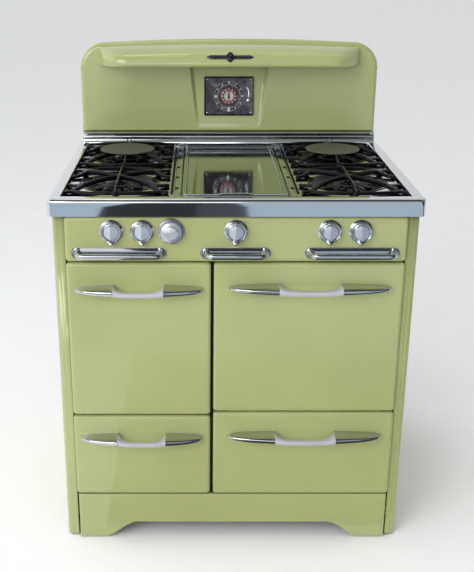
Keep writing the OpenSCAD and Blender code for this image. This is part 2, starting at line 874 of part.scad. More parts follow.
module oven_rack() {
    z = rack_levels[1] + 7.2;
    x0 = oven_hole[0] + 3;
    x1 = oven_hole[1] - 3;
    color(steel) {
        for (y = [64, 300, 530]) rod_x(y, z, 2.5, x0, x1);
        for (x = [x0 + 1, x1 - 1]) rod_y(x, z, 3, 62, 532);
        for (i = [1:15]) rod_y(x0 + (x1 - x0) * i / 16, z + 2.5, 2, 62, 532);
    }
}

/* ---- controls ---- */

module control_panel() {
    color(enamel) difference() {
        front_pan([-half_fronts, half_fronts, panel_z, band_z - 2]);
        for (x = concat(knob_xs, [thermostat_x])) rod_y(x, knob_z, 6, face_y - hole, back_face_y);
    }
}

bezel_r = 29;

module bezel(x, r) {
    difference() {
        rod_y(x, knob_z, r, face_y - 5, face_y);
        rod_y(x, knob_z, r - 5, face_y - 6, face_y - 2);
        rod_y(x, knob_z, 8, face_y - 6, face_y + hole);
    }
}

module knob_bezels() {
    color(chrome) {
        for (x = knob_xs) bezel(x, bezel_r);
        bezel(thermostat_x, bezel_r + 3);
    }
}

// A round knob with a tapered blade that points down
module knob(x) {
    color(chrome) difference() {
        union() {
            rod_y(x, knob_z, 22, -12, face_y - 2.4);
            translate([x, -10, knob_z]) rotate([90, 0, 0]) linear_extrude(11)
                polygon([[-2.5, 21], [2.5, 21], [3.2, 0], [3.5, -22], [0, -34.5], [-3.5, -22], [-3.2, 0]]);
            translate([x, -4, knob_z]) rotate([90, 0, 0]) linear_extrude(8)
                polygon([[-17, -13.5], [17, -13.5], [4, -32], [0, -34.5], [-4, -32]]);
        }
        rod_y(x, knob_z, stem_r + play, -5, face_y);
    }
}

module thermostat_knob() {
    color(chrome) difference() {
        union() {
            rod_y(thermostat_x, knob_z, 26, -12, face_y - 2.4);
            intersection() {
                rod_y(thermostat_x, knob_z, 16, -22, -11);
                block(thermostat_x - 20, thermostat_x + 20, -23, -10, knob_z + 3, knob_z + 20);
            }
        }
        rod_y(thermostat_x, knob_z, stem_r + play, -5, face_y);
    }
}

// A chrome base plate with a rail that stands out below the knobs
module guard(x, half) {
    plate_h = 30;
    rod = 5;
    reach = 30;
    ends = [[half - 15, face_y - 2], [half - 38, face_y - reach],
            [38 - half, face_y - reach], [15 - half, face_y - 2]];
    translate([x, 0, guard_z]) {
        translate([0, face_y, 0]) rotate([90, 0, 0]) linear_extrude(2) {
            for (s = [-1, 1]) translate([s * (half - plate_h / 2), 0]) circle(r = plate_h / 2);
            translate([-half + plate_h / 2, -plate_h / 2]) square([2 * half - plate_h, plate_h]);
        }
        for (s = [-1, 1]) rod_y(s * (half - 15), 0, 9, face_y - 7, face_y - 2);
        intersection() {
            for (i = [0:2]) guard_run(ends[i], ends[i + 1], rod);
            block(-half, half, -60, face_y - 2, -20, 20);
        }
    }
}

module guard_run(a, b, r) {
    d = b - a;
    translate([a[0], a[1], 0]) rotate([0, 0, atan2(d[1], d[0])]) rotate([0, 90, 0])
        cylinder(r = r, h = norm(d));
    translate([b[0], b[1], 0]) sphere(r = r + 0.4);
}

module knob_guards() {
    color(chrome) {
        guard(-286, 117);
        guard(0, 87);
        guard(286, 117);
    }
}

place() base_frame();
place() levelling_feet();
place() base_skirt();
place() mirror([1, 0, 0]) side_panel();  // side_panel_left
place() side_panel();  // side_panel_right
place() back_panel();
place() front_frame();
place() control_panel();
place() knob_bezels();
place() knob_guards();
place() manifold_pipe();
place() gas_valves();
place() top_burners();
place() griddle_burner();
place() burner_bowls();
place() cooktop();
place() griddle_frame();
place() vent_rail();
place() backsplash();
place() emblem();
place() clock_plate();
place() clock_dial();
place() oven_liner();
place() oven_floor();
place() oven_burner();
place() broiler_liner();
place() storage_liner();
place() drawer_runners();
place() flue_duct();
place() door_skin(oven_door);  // oven_door_skin
place() door_liner(oven_door, oven_hole, 16);  // oven_door_liner
place() handle(middle(oven_door) + 3, door_handle_z + 4, large_handle[0], large_handle[1]);  // oven_door_handle
place() door_skin(storage_door);  // storage_door_skin
place() door_liner(storage_door, storage_hole, 10);  // storage_door_liner
place() handle(middle(storage_door), door_handle_z, small_handle[0], small_handle[1]);  // storage_door_handle
place() drawer_front(storage_drawer);  // storage_drawer_front
place() storage_drawer_box();
place() handle(middle(storage_drawer), drawer_handle_z, small_handle[0], small_handle[1]);  // storage_drawer_handle
place() drawer_front(broiler_drawer);  // broiler_drawer_front
place() broiler_drawer_carriage();
place() handle(middle(broiler_drawer) + 3, drawer_handle_z + 6, large_handle[0], large_handle[1]);  // broiler_drawer_handle
place() broiler_pan();
place() knob(knob_xs[0]);  // knob_1
place() knob(knob_xs[1]);  // knob_2
place() knob(knob_xs[2]);  // knob_3
place() knob(knob_xs[3]);  // knob_4
place() knob(knob_xs[4]);  // knob_5
place() thermostat_knob();
place() minute_hand();
place() hour_hand();
place() timer_ring();
place() placed_grate(-1, burner_front_y);  // grate_front_left
place() placed_grate(1, burner_front_y);  // grate_front_right
place() placed_grate(-1, burner_rear_y);  // grate_rear_left
place() placed_grate(1, burner_rear_y);  // grate_rear_right
place() burner_cover(-1);  // burner_cover_left
place() burner_cover(1);  // burner_cover_right
place() griddle_plate();
place() griddle_cover();
place() oven_rack();
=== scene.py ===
# %% [markdown]
# # A freestanding gas range
#
# This lesson dresses a finished CAD model of a gas range in enamel, chrome and black porcelain.
# The CAD model is the frame: it says where everything is and what moves. Each step makes one kind of
# piece as a surface worked out with numpy, places it where the CAD says, and gives it a finish.

# %% Load the CAD model as the frame
import json
import math

import bpy
import bmesh
import numpy as np
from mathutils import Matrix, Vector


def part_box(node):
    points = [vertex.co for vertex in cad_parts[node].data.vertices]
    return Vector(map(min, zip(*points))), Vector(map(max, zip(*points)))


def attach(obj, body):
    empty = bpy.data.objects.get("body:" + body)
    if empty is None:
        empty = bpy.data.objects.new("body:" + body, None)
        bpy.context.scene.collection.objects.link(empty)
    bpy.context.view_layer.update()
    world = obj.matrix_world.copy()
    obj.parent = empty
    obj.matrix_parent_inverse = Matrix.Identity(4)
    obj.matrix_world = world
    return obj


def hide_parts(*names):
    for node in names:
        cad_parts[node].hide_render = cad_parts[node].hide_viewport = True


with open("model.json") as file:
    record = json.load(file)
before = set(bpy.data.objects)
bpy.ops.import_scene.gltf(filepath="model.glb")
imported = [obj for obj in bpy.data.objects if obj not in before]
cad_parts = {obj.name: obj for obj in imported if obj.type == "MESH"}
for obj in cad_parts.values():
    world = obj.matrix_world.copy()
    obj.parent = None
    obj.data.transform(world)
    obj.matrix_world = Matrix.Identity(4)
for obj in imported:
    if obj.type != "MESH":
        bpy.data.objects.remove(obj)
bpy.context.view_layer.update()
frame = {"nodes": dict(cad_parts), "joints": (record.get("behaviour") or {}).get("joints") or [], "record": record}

# %% [markdown]
# ## Measures that the pieces share
#
# A range is drawn from its front: widths from the middle, depths from the chrome band backwards, and
# heights from the floor. The CAD model's own boxes give those levels, so nothing is typed twice.
# One helper, `at`, turns those three distances in millimetres into a point of the frame in metres.

# %% Levels taken from the CAD nodes
MM = 0.001
band_low, band_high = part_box("cooktop")
BAND_Y = band_low.y


def span(node):
    """The node's box as x0, x1, y0, y1, z0, z1 in millimetres, with y counted from the band."""
    low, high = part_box(node)
    pairs = zip(low, high)
    return [v for k, pair in enumerate(pairs)
            for v in ((c - (BAND_Y if k == 1 else 0)) / MM for c in pair)]


def at(x, y, z):
    """Points of the frame in metres, from millimetres right of the middle, behind the band and up."""
    x, y, z = np.broadcast_arrays(x, y, z)
    return np.stack([x * MM, BAND_Y + y * MM, z * MM], -1).astype(float)


RIM_Z = band_high.z / MM
DECK_Z = RIM_Z - 12
HALF_W = band_high.x / MM
FACE_Y = span("oven_door_skin")[2]
print("rim", RIM_Z, "half width", HALF_W, "door face", FACE_Y)

# %% [markdown]
# ## Surfaces as grids
#
# Almost every part of a range is a sheet pressed over a form or a bar drawn along a line. Both are
# grids: one parameter runs along, the other runs round. A grid could be built vertex by vertex with
# bmesh, but whole arrays are shorter and faster. A *shape* below is a pair of points and faces, and
# several shapes can be joined into one piece.

# %% Grid, skin and join helpers
def grid_faces(rows, cols, wrap=False, first=0):
    """Quads between neighbouring rows and columns; wrap joins the last column to the first."""
    i, j = np.meshgrid(np.arange(rows - 1), np.arange(cols if wrap else cols - 1), indexing="ij")
    k = (j + 1) % cols
    quads = np.stack([i * cols + j, i * cols + k, (i + 1) * cols + k, (i + 1) * cols + j], -1)
    return (quads.reshape(-1, 4) + first).tolist()


def skin(rings):
    """A closed shape over a stack of closed rings (n, m, 3), with a flat face over each end."""
    n, m, _ = rings.shape
    ends = [list(range(m))[::-1], list(range((n - 1) * m, n * m))]
    return rings.reshape(-1, 3), grid_faces(n, m, wrap=True) + ends


def sheet(grid):
    """An open shape over a grid of points (n, m, 3)."""
    n, m, _ = grid.shape
    return grid.reshape(-1, 3), grid_faces(n, m)


def join(*shapes):
    """Several shapes as one."""
    points, faces, first = [], [], 0
    for p, f in shapes:
        points.append(p)
        faces += [[i + first for i in face] for face in f]
        first += len(p)
    return np.concatenate(points), faces


def mirror_x(shape):
    """The same shape on the other side of the middle."""
    points, faces = shape
    return points * [-1, 1, 1], [face[::-1] for face in faces]


# %% [markdown]
# ## From a shape to a piece
#
# A piece is a mesh object with a finish that rides on one of the CAD's bodies. Stray doubles at
# poles are merged and the normals of closed skins are worked out again, so that light falls on the
# outside. An open sheet gets its metal's thickness from a Solidify modifier instead.

# %% Piece maker
SMOOTH_BELOW = math.radians(38)
MERGE_BELOW, SLIVER_BELOW = 2e-6, 1e-6


def make(name, shape, finish, body, stands_for=(), metal=0.0, outward=None, bevel=0.0):
    """Turns a shape into a piece: merge, face outwards, shade smooth, finish, and ride on a body."""
    mesh = bpy.data.meshes.new(name)
    points, faces = shape
    mesh.from_pydata(points.tolist(), [], faces)
    work = bmesh.new()
    work.from_mesh(mesh)
    bmesh.ops.remove_doubles(work, verts=work.verts, dist=MERGE_BELOW)
    bmesh.ops.dissolve_degenerate(work, dist=SLIVER_BELOW, edges=work.edges)
    bmesh.ops.recalc_face_normals(work, faces=work.faces)
    if outward is not None:
        lean = sum((f.normal * f.calc_area() for f in work.faces), work.faces[:][0].normal * 0)
        if lean.dot(outward) < 0:
            bmesh.ops.reverse_faces(work, faces=work.faces)
    work.to_mesh(mesh)
    work.free()
    mesh.materials.append(finish)
    mesh.shade_smooth()
    mesh.set_sharp_from_angle(angle=SMOOTH_BELOW)
    piece = bpy.data.objects.new(name, mesh)
    bpy.context.scene.collection.objects.link(piece)
    if metal:
        wall = piece.modifiers.new("metal", "SOLIDIFY")
        wall.thickness = metal * MM
        wall.offset = -1
    if bevel:
        edge = piece.modifiers.new("edge", "BEVEL")
        edge.width = bevel * MM
        edge.segments = 3
        edge.limit_method = "ANGLE"
    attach(piece, body)
    if stands_for:
        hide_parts(*([stands_for] if isinstance(stands_for, str) else stands_for))
    return piece


# %% [markdown]
# ## Shapes that come up again and again
#
# Turned parts are a profile carried round an axis. Bars and pipes are a ring carried along a path.
# Pressed panels are rounded rectangles that shrink towards their middle while they change depth.

# %% Turned, drawn and pressed shapes
def arc(cx, cy, r, start, end, n=9):
    """n points of a circle's arc, as (n, 2), between two angles in degrees."""
    t = np.radians(np.linspace(start, end, n))
    return np.stack([cx + r * np.cos(t), cy + r * np.sin(t)], -1)


def turned(profile, centre, axis=(0, 0, 1), sides=64, wave=None):
    """A profile of (radius, height) pairs carried round an axis through centre, in millimetres."""
    axis = np.array(axis, float) / np.linalg.norm(axis)
    across = np.cross(axis, (0, 0, 1) if abs(axis[2]) < 0.9 else (1, 0, 0))
    across /= np.linalg.norm(across)
    other = np.cross(axis, across)
    t = np.linspace(0, 2 * np.pi, sides, endpoint=False)
    ring = np.cos(t)[:, None] * across + np.sin(t)[:, None] * other
    profile = np.asarray(profile, float)
    radius = profile[:, 0][:, None] * (1 if wave is None else wave(t)[None, :])
    rings = radius[..., None] * ring[None] + profile[:, 1][:, None, None] * axis
    return skin(at(*centre)[None, None, :] + rings * MM)


def drawn(path, width, height=None, up=(0, 0, 1), sides=16, power=2.0):
    """A superellipse of that half width and half height carried along a path, in millimetres."""
    path = np.asarray(path, float)
    n = len(path)
    width = np.broadcast_to(width, n)[:, None, None]
    height = np.broadcast_to(width[:, 0, 0] if height is None else height, n)[:, None, None]
    along = np.gradient(path, axis=0)
    along /= np.linalg.norm(along, axis=1)[:, None]
    side = np.cross(along, up)
    side /= np.linalg.norm(side, axis=1)[:, None]
    rise = np.cross(side, along)
    t = np.linspace(0, 2 * np.pi, sides, endpoint=False)
    c = (np.sign(np.cos(t)) * np.abs(np.cos(t)) ** (2 / power))[None, :, None]
    s = (np.sign(np.sin(t)) * np.abs(np.sin(t)) ** (2 / power))[None, :, None]
    rings = path[:, None] + c * width * side[:, None] + s * height * rise[:, None]
    return skin(at(rings[..., 0], rings[..., 1], rings[..., 2]))


def curve_through(points, n=24):
    """A smooth path of n points through a few given ones (a Catmull-Rom spline)."""
    p = np.asarray(points, float)
    p = np.concatenate([[2 * p[0] - p[1]], p, [2 * p[-1] - p[-2]]])
    t = np.linspace(0, len(p) - 3 - 1e-9, n)
    k = t.astype(int)
    f = (t - k)[:, None]
    a, b, c, d = p[k], p[k + 1], p[k + 2], p[k + 3]
    cubic = (3 * b - a - 3 * c + d) * f**3
    return 0.5 * (2 * b + (c - a) * f + (2 * a - 5 * b + 4 * c - d) * f**2 + cubic)


def rounded_rect(x0, x1, z0, z1, r, n=8):
    """A rectangle's outline with round corners, as (4n, 2), anticlockwise from the lower right."""
    r = max(min(r, (x1 - x0) / 2 - 0.01, (z1 - z0) / 2 - 0.01), 0.01)
    corners = [(x1 - r, z0 + r, -90), (x1 - r, z1 - r, 0), (x0 + r, z1 - r, 90), (x0 + r, z0 + r, 180)]
    return np.concatenate([arc(cx, cz, r, a, a + 90, n) for cx, cz, a in corners])


def pressed(box, r, steps, place=lambda u, v, w: at(u, w, v)):
    """Rounded rectangles inset by each step's first number and set back by its second."""
    x0, x1, z0, z1 = box
    rings = []
    for inset, depth in steps:
        ring = rounded_rect(x0 + inset, x1 - inset, z0 + inset, z1 - inset, max(r - inset, 0.5))
        rings.append(place(ring[:, 0], ring[:, 1], depth))
    return skin(np.array(rings))


def rolled_edge(face, r, back, wall=1.6, middle=40):
    """Steps of a pressed pan: flat face, round edge of radius r, straight side, and its inside."""
    edge = [(r - r * math.sin(a), face + r - r * math.cos(a)) for a in np.radians(np.linspace(0, 90, 9))]
    inside = [(wall, back), (wall, face + r), (r, face + wall + 0.4), (middle, face + wall + 0.4)]
    return [(middle, face), (r + 6, face)] + edge + [(0, back)] + inside


print("helpers ready")

# %% [markdown]
# ## Finishes
#
# Vitreous enamel is glass fused to steel: a smooth, slightly wavy, deep gloss whose colour drifts a
# little where the coat is thicker. Chrome plate is a mirror with faint smears. Black porcelain on cast
# iron is the same glass over a rougher casting. One helper lays noise over a base colour and, where
# asked, over the roughness and the surface, so that each finish below is a line of its own values.

# %% Finish helpers
def remap(tree, value, low, high, new_low, new_high):
    """A Map Range node that turns low..high of a value into new_low..new_high."""
    node = tree.nodes.new("ShaderNodeMapRange")
    limits = {"From Min": low, "From Max": high, "To Min": new_low, "To Max": new_high}
    for socket, limit in limits.items():
        node.inputs[socket].default_value = limit
    tree.links.new(value, node.inputs["Value"])
    return node.outputs["Result"]


def finish(name, colour, rough=0.3, metal=0.0, coat=0.0, drift=0.04, drift_size=6.0, wave=0.0,
           wave_size=30.0, smear=0.0, specks=None, speck_size=400.0, grain=None, spec=0.5):
    """A shader with colour drift, smears in the gloss, waves or grain in the surface, and specks."""
    m = bpy.data.materials.new(name)
    m.use_nodes = True
    nodes, link = m.node_tree.nodes, m.node_tree.links.new
    shader = nodes["Principled BSDF"]
    shader.inputs["Metallic"].default_value = metal
    shader.inputs["Roughness"].default_value = rough
    shader.inputs["Coat Weight"].default_value = coat
    shader.inputs["Coat Roughness"].default_value = 0.03
    shader.inputs["Specular IOR Level"].default_value = spec
    place = nodes.new("ShaderNodeTexCoord")

    def noise(size, detail=3.0, stretch=None):
        n = nodes.new("ShaderNodeTexNoise")
        n.inputs["Scale"].default_value = size
        n.inputs["Detail"].default_value = detail
        if stretch:
            mapping = nodes.new("ShaderNodeMapping")
            mapping.inputs["Scale"].default_value = stretch
            link(place.outputs["Object"], mapping.inputs["Vector"])
            link(mapping.outputs["Vector"], n.inputs["Vector"])
        else:
            link(place.outputs["Object"], n.inputs["Vector"])
        return n.outputs["Fac"]

    ramp = nodes.new("ShaderNodeValToRGB")
    low, high = ramp.color_ramp.elements
    low.position, high.position = 0.3, 0.7
    low.color = (*[c * (1 - drift) for c in colour], 1)
    high.color = (*[min(1.0, c * (1 + drift)) for c in colour], 1)
    link(noise(drift_size), ramp.inputs["Fac"])
    top = ramp.outputs["Color"]
    if specks:
        dots = nodes.new("ShaderNodeTexVoronoi")
        dots.inputs["Scale"].default_value = speck_size
        link(place.outputs["Object"], dots.inputs["Vector"])
        pick = remap(m.node_tree, dots.outputs["Distance"], 0.12, 0.2, 1.0, 0.0)
        mix = nodes.new("ShaderNodeMix")
        mix.data_type = "RGBA"
        mix.inputs["B"].default_value = (*specks, 1)
        link(pick, mix.inputs["Factor"])
        link(top, mix.inputs["A"])
        top = mix.outputs["Result"]
    link(top, shader.inputs["Base Color"])
    if smear:
        spread = remap(m.node_tree, noise(9.0, 6.0), 0.35, 0.75, rough, rough + smear)
        link(spread, shader.inputs["Roughness"])
    if wave:
        bump = nodes.new("ShaderNodeBump")
        bump.inputs["Strength"].default_value = wave
        bump.inputs["Distance"].default_value = 0.001
        link(noise(wave_size, 2.0, grain), bump.inputs["Height"])
        link(bump.outputs["Normal"], shader.inputs["Normal"])
    return m


# %% The finishes of this range
ENAMEL = (0.338, 0.368, 0.152)
enamel = finish("enamel", ENAMEL, rough=0.17, coat=0.55, drift=0.05, drift_size=3.0, wave=0.10,
                wave_size=45.0, smear=0.07)
chrome = finish("chrome", (0.57, 0.585, 0.59), rough=0.05, metal=1.0, drift=0.04, wave=0.05,
                wave_size=25.0, smear=0.06)
griddle_chrome = finish("griddle_chrome", (0.46, 0.50, 0.53), rough=0.05, metal=1.0, drift=0.05,
                        wave=0.05, wave_size=25.0, smear=0.06)
bright_chrome = finish("bright_chrome", (0.74, 0.755, 0.78), rough=0.045, metal=1.0, drift=0.03,
                       wave=0.03, wave_size=14.0, smear=0.03)
dark_chrome = finish("dark_chrome", (0.075, 0.073, 0.085), rough=0.20, metal=0.9, drift=0.5,
                     drift_size=60.0, smear=0.2)
satin_chrome = finish("satin_chrome", (0.62, 0.63, 0.68), rough=0.34, metal=0.85, drift=0.05, smear=0.08)
porcelain = finish("black_porcelain", (0.003, 0.003, 0.006), rough=0.09, drift=0.4, wave=0.18,
                   wave_size=120.0, smear=0.08, spec=0.17)
bowl_black = finish("bowl_black", (0.004, 0.004, 0.005), rough=0.22, drift=0.4, wave=0.2, wave_size=80.0,
                    smear=0.12, spec=0.22)
iron = finish("cast_iron", (0.030, 0.029, 0.029), rough=0.6, drift=0.3, drift_size=40.0, wave=0.5,
              wave_size=500.0, spec=0.3)
cover_enamel = finish("cover_enamel", (0.072, 0.078, 0.058), rough=0.42, drift=0.14, drift_size=25.0,
                      wave=0.12, wave_size=260.0, smear=0.1, spec=0.25)
grip_white = finish("grip_white", (0.40, 0.40, 0.44), rough=0.30, coat=0.2, drift=0.05, drift_size=30.0,
                    wave=0.04, wave_size=300.0)
speckled = finish("speckled_enamel", (0.018, 0.024, 0.045), rough=0.25, coat=0.5, drift=0.2,
                  specks=(0.5, 0.52, 0.56), speck_size=330.0, wave=0.08)
bare_steel = finish("bare_steel", (0.36, 0.37, 0.39), rough=0.40, metal=1.0, drift=0.12, drift_size=14.0,
                    wave=0.15, wave_size=60.0, grain=(1.0, 1.0, 12.0), smear=0.15)
# Near black, painted on the front and base frames so that the gaps between the fronts read as shade.
frame_shade_black = finish("frame_shade_black", (0.020, 0.021, 0.018), rough=0.6, drift=0.25, drift_size=20.0,
                     wave=0.1, wave_size=90.0, spec=0.2)
brass = finish("brass", (0.55, 0.40, 0.16), rough=0.3, metal=1.0, drift=0.12, drift_size=60.0, smear=0.15)
dial_red = finish("dial_red", (0.155, 0.020, 0.030), rough=0.35, coat=0.2, drift=0.25, drift_size=90.0)
dial_silver = finish("dial_silver", (0.40, 0.41, 0.40), rough=0.32, metal=0.6, drift=0.15,
                     drift_size=150.0, smear=0.1)
# Near black: the own black of the clock hands and thermostat marks, and painted shade in the deck slots, vent
# slot, lamp slot and griddle vent holes.
black_ink_and_shade = finish("black_ink_and_shade", (0.006, 0.006, 0.007), rough=0.6, drift=0.2, spec=0.12)
mark_white = finish("mark_white", (0.60, 0.60, 0.58), rough=0.4, drift=0.05)
print("finishes:", len(bpy.data.materials))

# %% [markdown]
# ## Doors, drawers and the control panel
#
# Each front is one sheet pressed over a form: a flat face, an edge that rolls back on a radius of about
# 8 mm, and a flange behind it. A cube with a bevel would look alike from afar, but its back would be
# solid. Shrinking rounded rectangles follow the press: face, rolled edge, flange, then the inside.

# %% Pressed fronts
FRONTS = {
    "storage_door_skin": "storage_door",
    "oven_door_skin": "oven_door",
    "storage_drawer_front": "storage_drawer",
    "broiler_drawer_front": "broiler_drawer",
    "control_panel": "chassis",
}
ROLL_R = 8.0
CORNER_R = 9
DOOR_FLANGE_CUT = 3.0  # how far a door's flange stops short of the back of its CAD skin
for node, body in FRONTS.items():
    x0, x1, y0, y1, z0, z1 = span(node)
    flange_back = y1 - (DOOR_FLANGE_CUT if body.endswith("door") else 0.0)
    steps = rolled_edge(y0, ROLL_R, flange_back, middle=min(x1 - x0, z1 - z0) * 0.45)
    front = pressed((x0, x1, z0, z1), CORNER_R, steps)
    make(node.replace("_skin", "") + "_press", front, enamel, body, node)
print("fronts:", ", ".join(FRONTS))

# %% [markdown]
# ## Side panels
#
# A side is one tall sheet folded round the front corner. Seen from above it is a line: a narrow
# front strip, a shallow step where the fold was pressed, a round corner, and the long flat side.
# The line is drawn once and carried from the floor to the band, and Solidify gives it its metal.

# %% Side panels
def side_line(x_in, x_out, y_front, y_back):
    """The panel seen from above, from its inner front edge round the corner to the wall."""
    r = 15.0
    step = [(x_in, y_front + 9), (x_in, y_front + 1.5), (x_in + 1.5, y_front), (x_out - r - 4, y_front),
            (x_out - r - 2.4, y_front + 0.8), (x_out - r - 1.6, y_front + 2.2)]
    corner = arc(x_out - r, y_front + r + 2.2, r, -90, 0, 10)
    return np.array(step + corner.tolist() + [(x_out, y) for y in np.linspace(y_front + 30, y_back, 12)])


x0, x1, y0, y1, z0, z1 = span("side_panel_right")
line = side_line(x0, x1, y0, y1)
heights = np.array([z0, z0 + 2, z0 + 60, (z0 + z1) / 2, z1])
grid = at(line[None, :, 0], line[None, :, 1], heights[:, None])
make("side_right", sheet(grid), enamel, "chassis", "side_panel_right", metal=1.6,
     outward=(1, 0, 0))
make("side_left", mirror_x(sheet(grid)), enamel, "chassis", "side_panel_left", metal=1.6,
     outward=(-1, 0, 0))
print("side panel line:", len(line), "points")

# %% [markdown]
# ## Base skirt
#
# The skirt's lower edge is level in the middle and falls to two feet in an S. Every point of the sheet
# is a place across and a place between that edge and the top, and the edge rolls back under itself.

# %% Base skirt
ARCH_Z, ARCH_IN, ARCH_OUT = 48.0, 262.0, 341.0


def skirt_edge(x, foot):
    """Height of the lower edge at x: level, then an S down to the foot."""
    t = np.clip((np.abs(x) - ARCH_IN) / (ARCH_OUT - ARCH_IN), 0, 1)
    return foot + (ARCH_Z - foot) * (1 - t**1.3) * (0.5 + 0.5 * np.cos(np.pi * t**1.5)) ** 0.35


x0, x1, y0, y1, z0, z1 = span("base_skirt")
half = x1
across = np.concatenate([np.linspace(0, ARCH_IN, 8),
                         ARCH_IN + (ARCH_OUT - ARCH_IN) * np.sin(np.linspace(0, np.pi / 2, 22)[1:]),
                         np.linspace(ARCH_OUT + 1, half - 4, 6),
                         half - 4 + 4 * np.sin(np.linspace(0, np.pi / 2, 5)[1:])])
across = np.concatenate([-across[:0:-1], across])
back_at_end = 4 - np.sqrt(np.clip(16 - np.clip(np.abs(across) - (half - 4), 0, 4) ** 2, 0, 16))
up = np.concatenate([[0, 0, 0.004, 0.02], np.linspace(0.06, 0.96, 12), [0.985, 1.0, 1.0]])
back = np.concatenate([[14, 3, 0.8, 0], np.zeros(12), [0.8, 3.0, 20.0]])
edge = skirt_edge(across, z0)
z = edge[None] + up[:, None] * (z1 - edge[None])
grid = at(across[None], y0 + back[:, None] + back_at_end[None], z)
ends = np.stack([at(s * half, y0 + np.array([4.0, 60.0])[:, None], np.linspace(z0, z1 - 2, 5)[None])
                 for s in (-1, 1)])
make("skirt", sheet(grid), enamel, "chassis", "base_skirt", metal=1.6, outward=(0, -1, 0))
make("skirt_return_left", sheet(ends[0]), enamel, "chassis", metal=1.6, outward=(-1, 0, 0))
make("skirt_return_right", sheet(ends[1]), enamel, "chassis", metal=1.6, outward=(1, 0, 0))
print("skirt columns:", len(across))

# %% [markdown]
# ## Cooktop
#
# The cooktop is one chromed pressing: a band with a rounded top edge, a level rim, and a deck set a
# finger's width lower. The band and rim are closed loops stepped in from the outline. The deck needs
# holes, and a flat Bezier or poly curve fills its own outline and leaves inner loops open, so the
# deck is drawn as a curve and made a mesh.

# %% Plates with holes
def plate(outlines, z, thick):
    """A flat plate of that thickness whose first outline is its edge and the others its holes."""
    curve = bpy.data.curves.new("plate", "CURVE")
    curve.dimensions = "2D"
    curve.fill_mode = "BOTH"
    curve.extrude = thick / 2 * MM
    for outline in outlines:
        spline = curve.splines.new("POLY")
        spline.points.add(len(outline) - 1)
        flat = np.zeros((len(outline), 4))
        flat[:, :2] = np.asarray(outline) * MM
        spline.points.foreach_set("co", flat.ravel())
        spline.use_cyclic_u = True
    holder = bpy.data.objects.new("plate", curve)
    bpy.context.scene.collection.objects.link(holder)
    bpy.context.view_layer.update()
    mesh = bpy.data.meshes.new_from_object(holder)
    co = np.zeros(len(mesh.vertices) * 3)
    mesh.vertices.foreach_get("co", co)
    co = co.reshape(-1, 3)
    faces = [list(p.vertices) for p in mesh.polygons]
    bpy.data.objects.remove(holder)
    bpy.data.meshes.remove(mesh)
    points = at(co[:, 0] / MM, co[:, 1] / MM, co[:, 2] / MM + z - thick / 2)
    return points, faces


def circle(x, y, r, n=48, stretch=1.0):
    """A circle's outline, or an oval's when it is stretched along y."""
    return (arc(0, 0, r, 0, 360 - 360 / n, n) * [1, stretch]) + [x, y]


# %% Band, rim and deck
x0, x1, y0, y1, z0, z1 = span("cooktop")
BULLNOSE, MARGIN, DECK_IN = 9.0, 28, 36
nose = [(BULLNOSE - BULLNOSE * math.cos(a), z1 - BULLNOSE + BULLNOSE * math.sin(a))
        for a in np.radians(np.linspace(0, 90, 10))]
steps = [(1.6, z0), (0, z0), (0, z0 + 3), (0, z1 - BULLNOSE - 10)] + nose
steps += [(14, z1), (MARGIN, z1), (30.2, z1 - 0.6), (31.4, z1 - 2.4), (31.8, DECK_Z + 3),
          (33, DECK_Z + 0.8), (DECK_IN, DECK_Z)]
steps += [(DECK_IN, DECK_Z - 1.6), (30, DECK_Z - 1.2), (MARGIN, z1 - 2.4), (2.5, z1 - 3.5), (1.6, z0 + 3),
          (1.6, z0)]
rings = []
for inset, z in steps:
    ring = rounded_rect(x0 + inset, x1 - inset, y0 + inset, y1 - inset if inset < 14 else y1 - 12,
                        max(16 - inset * 0.5, 5), 10)
    rings.append(at(ring[:, 0], ring[:, 1], z))
rings = np.array(rings)
n, m, _ = rings.shape
band = rings.reshape(-1, 3), grid_faces(n, m, wrap=True)
gx0, gx1, gy0, gy1, _, _ = span("griddle_frame")
bowls = span("burner_bowls")
BOWL_R, BOWL_HOLE_R, SLOT_HALF = 104.0, 97, 3.4
BURNER_X = bowls[1] - BOWL_R
BURNER_YS = (bowls[2] + BOWL_R, bowls[3] - BOWL_R)
holes = [circle(s * BURNER_X, y, BOWL_HOLE_R) for s in (-1, 1) for y in BURNER_YS]
holes.append(rounded_rect(gx0 + 12, gx1 - 12, gy0 + 4, gy1 - 4, 4))
SLOT_X = gx1 + 6
SLOTS = [(s * SLOT_X - SLOT_HALF, s * SLOT_X + SLOT_HALF, gy0 + 50, gy1 - 12) for s in (-1, 1)]
slots = [rounded_rect(*box, 2) for box in SLOTS]
deck_back = span("vent_rail")[2] + 3
deck = plate([rounded_rect(x0 + 35, x1 - 35, y0 + 35, deck_back, 5)] + holes + slots, DECK_Z, 1.4)
make("cooktop_press", band, bright_chrome, "chassis", "cooktop")
make("cooktop_deck", deck, chrome, "chassis")
# Painted shade: near-black plates just under the two deck slots stand for the shade inside them.
slot_shade_plates = plate([rounded_rect(*box, 2.2) for box in SLOTS], DECK_Z - 0.6, 1.0)
make("deck_slot_shade", slot_shade_plates, black_ink_and_shade, "chassis")
print("burners at", BURNER_X, BURNER_YS)
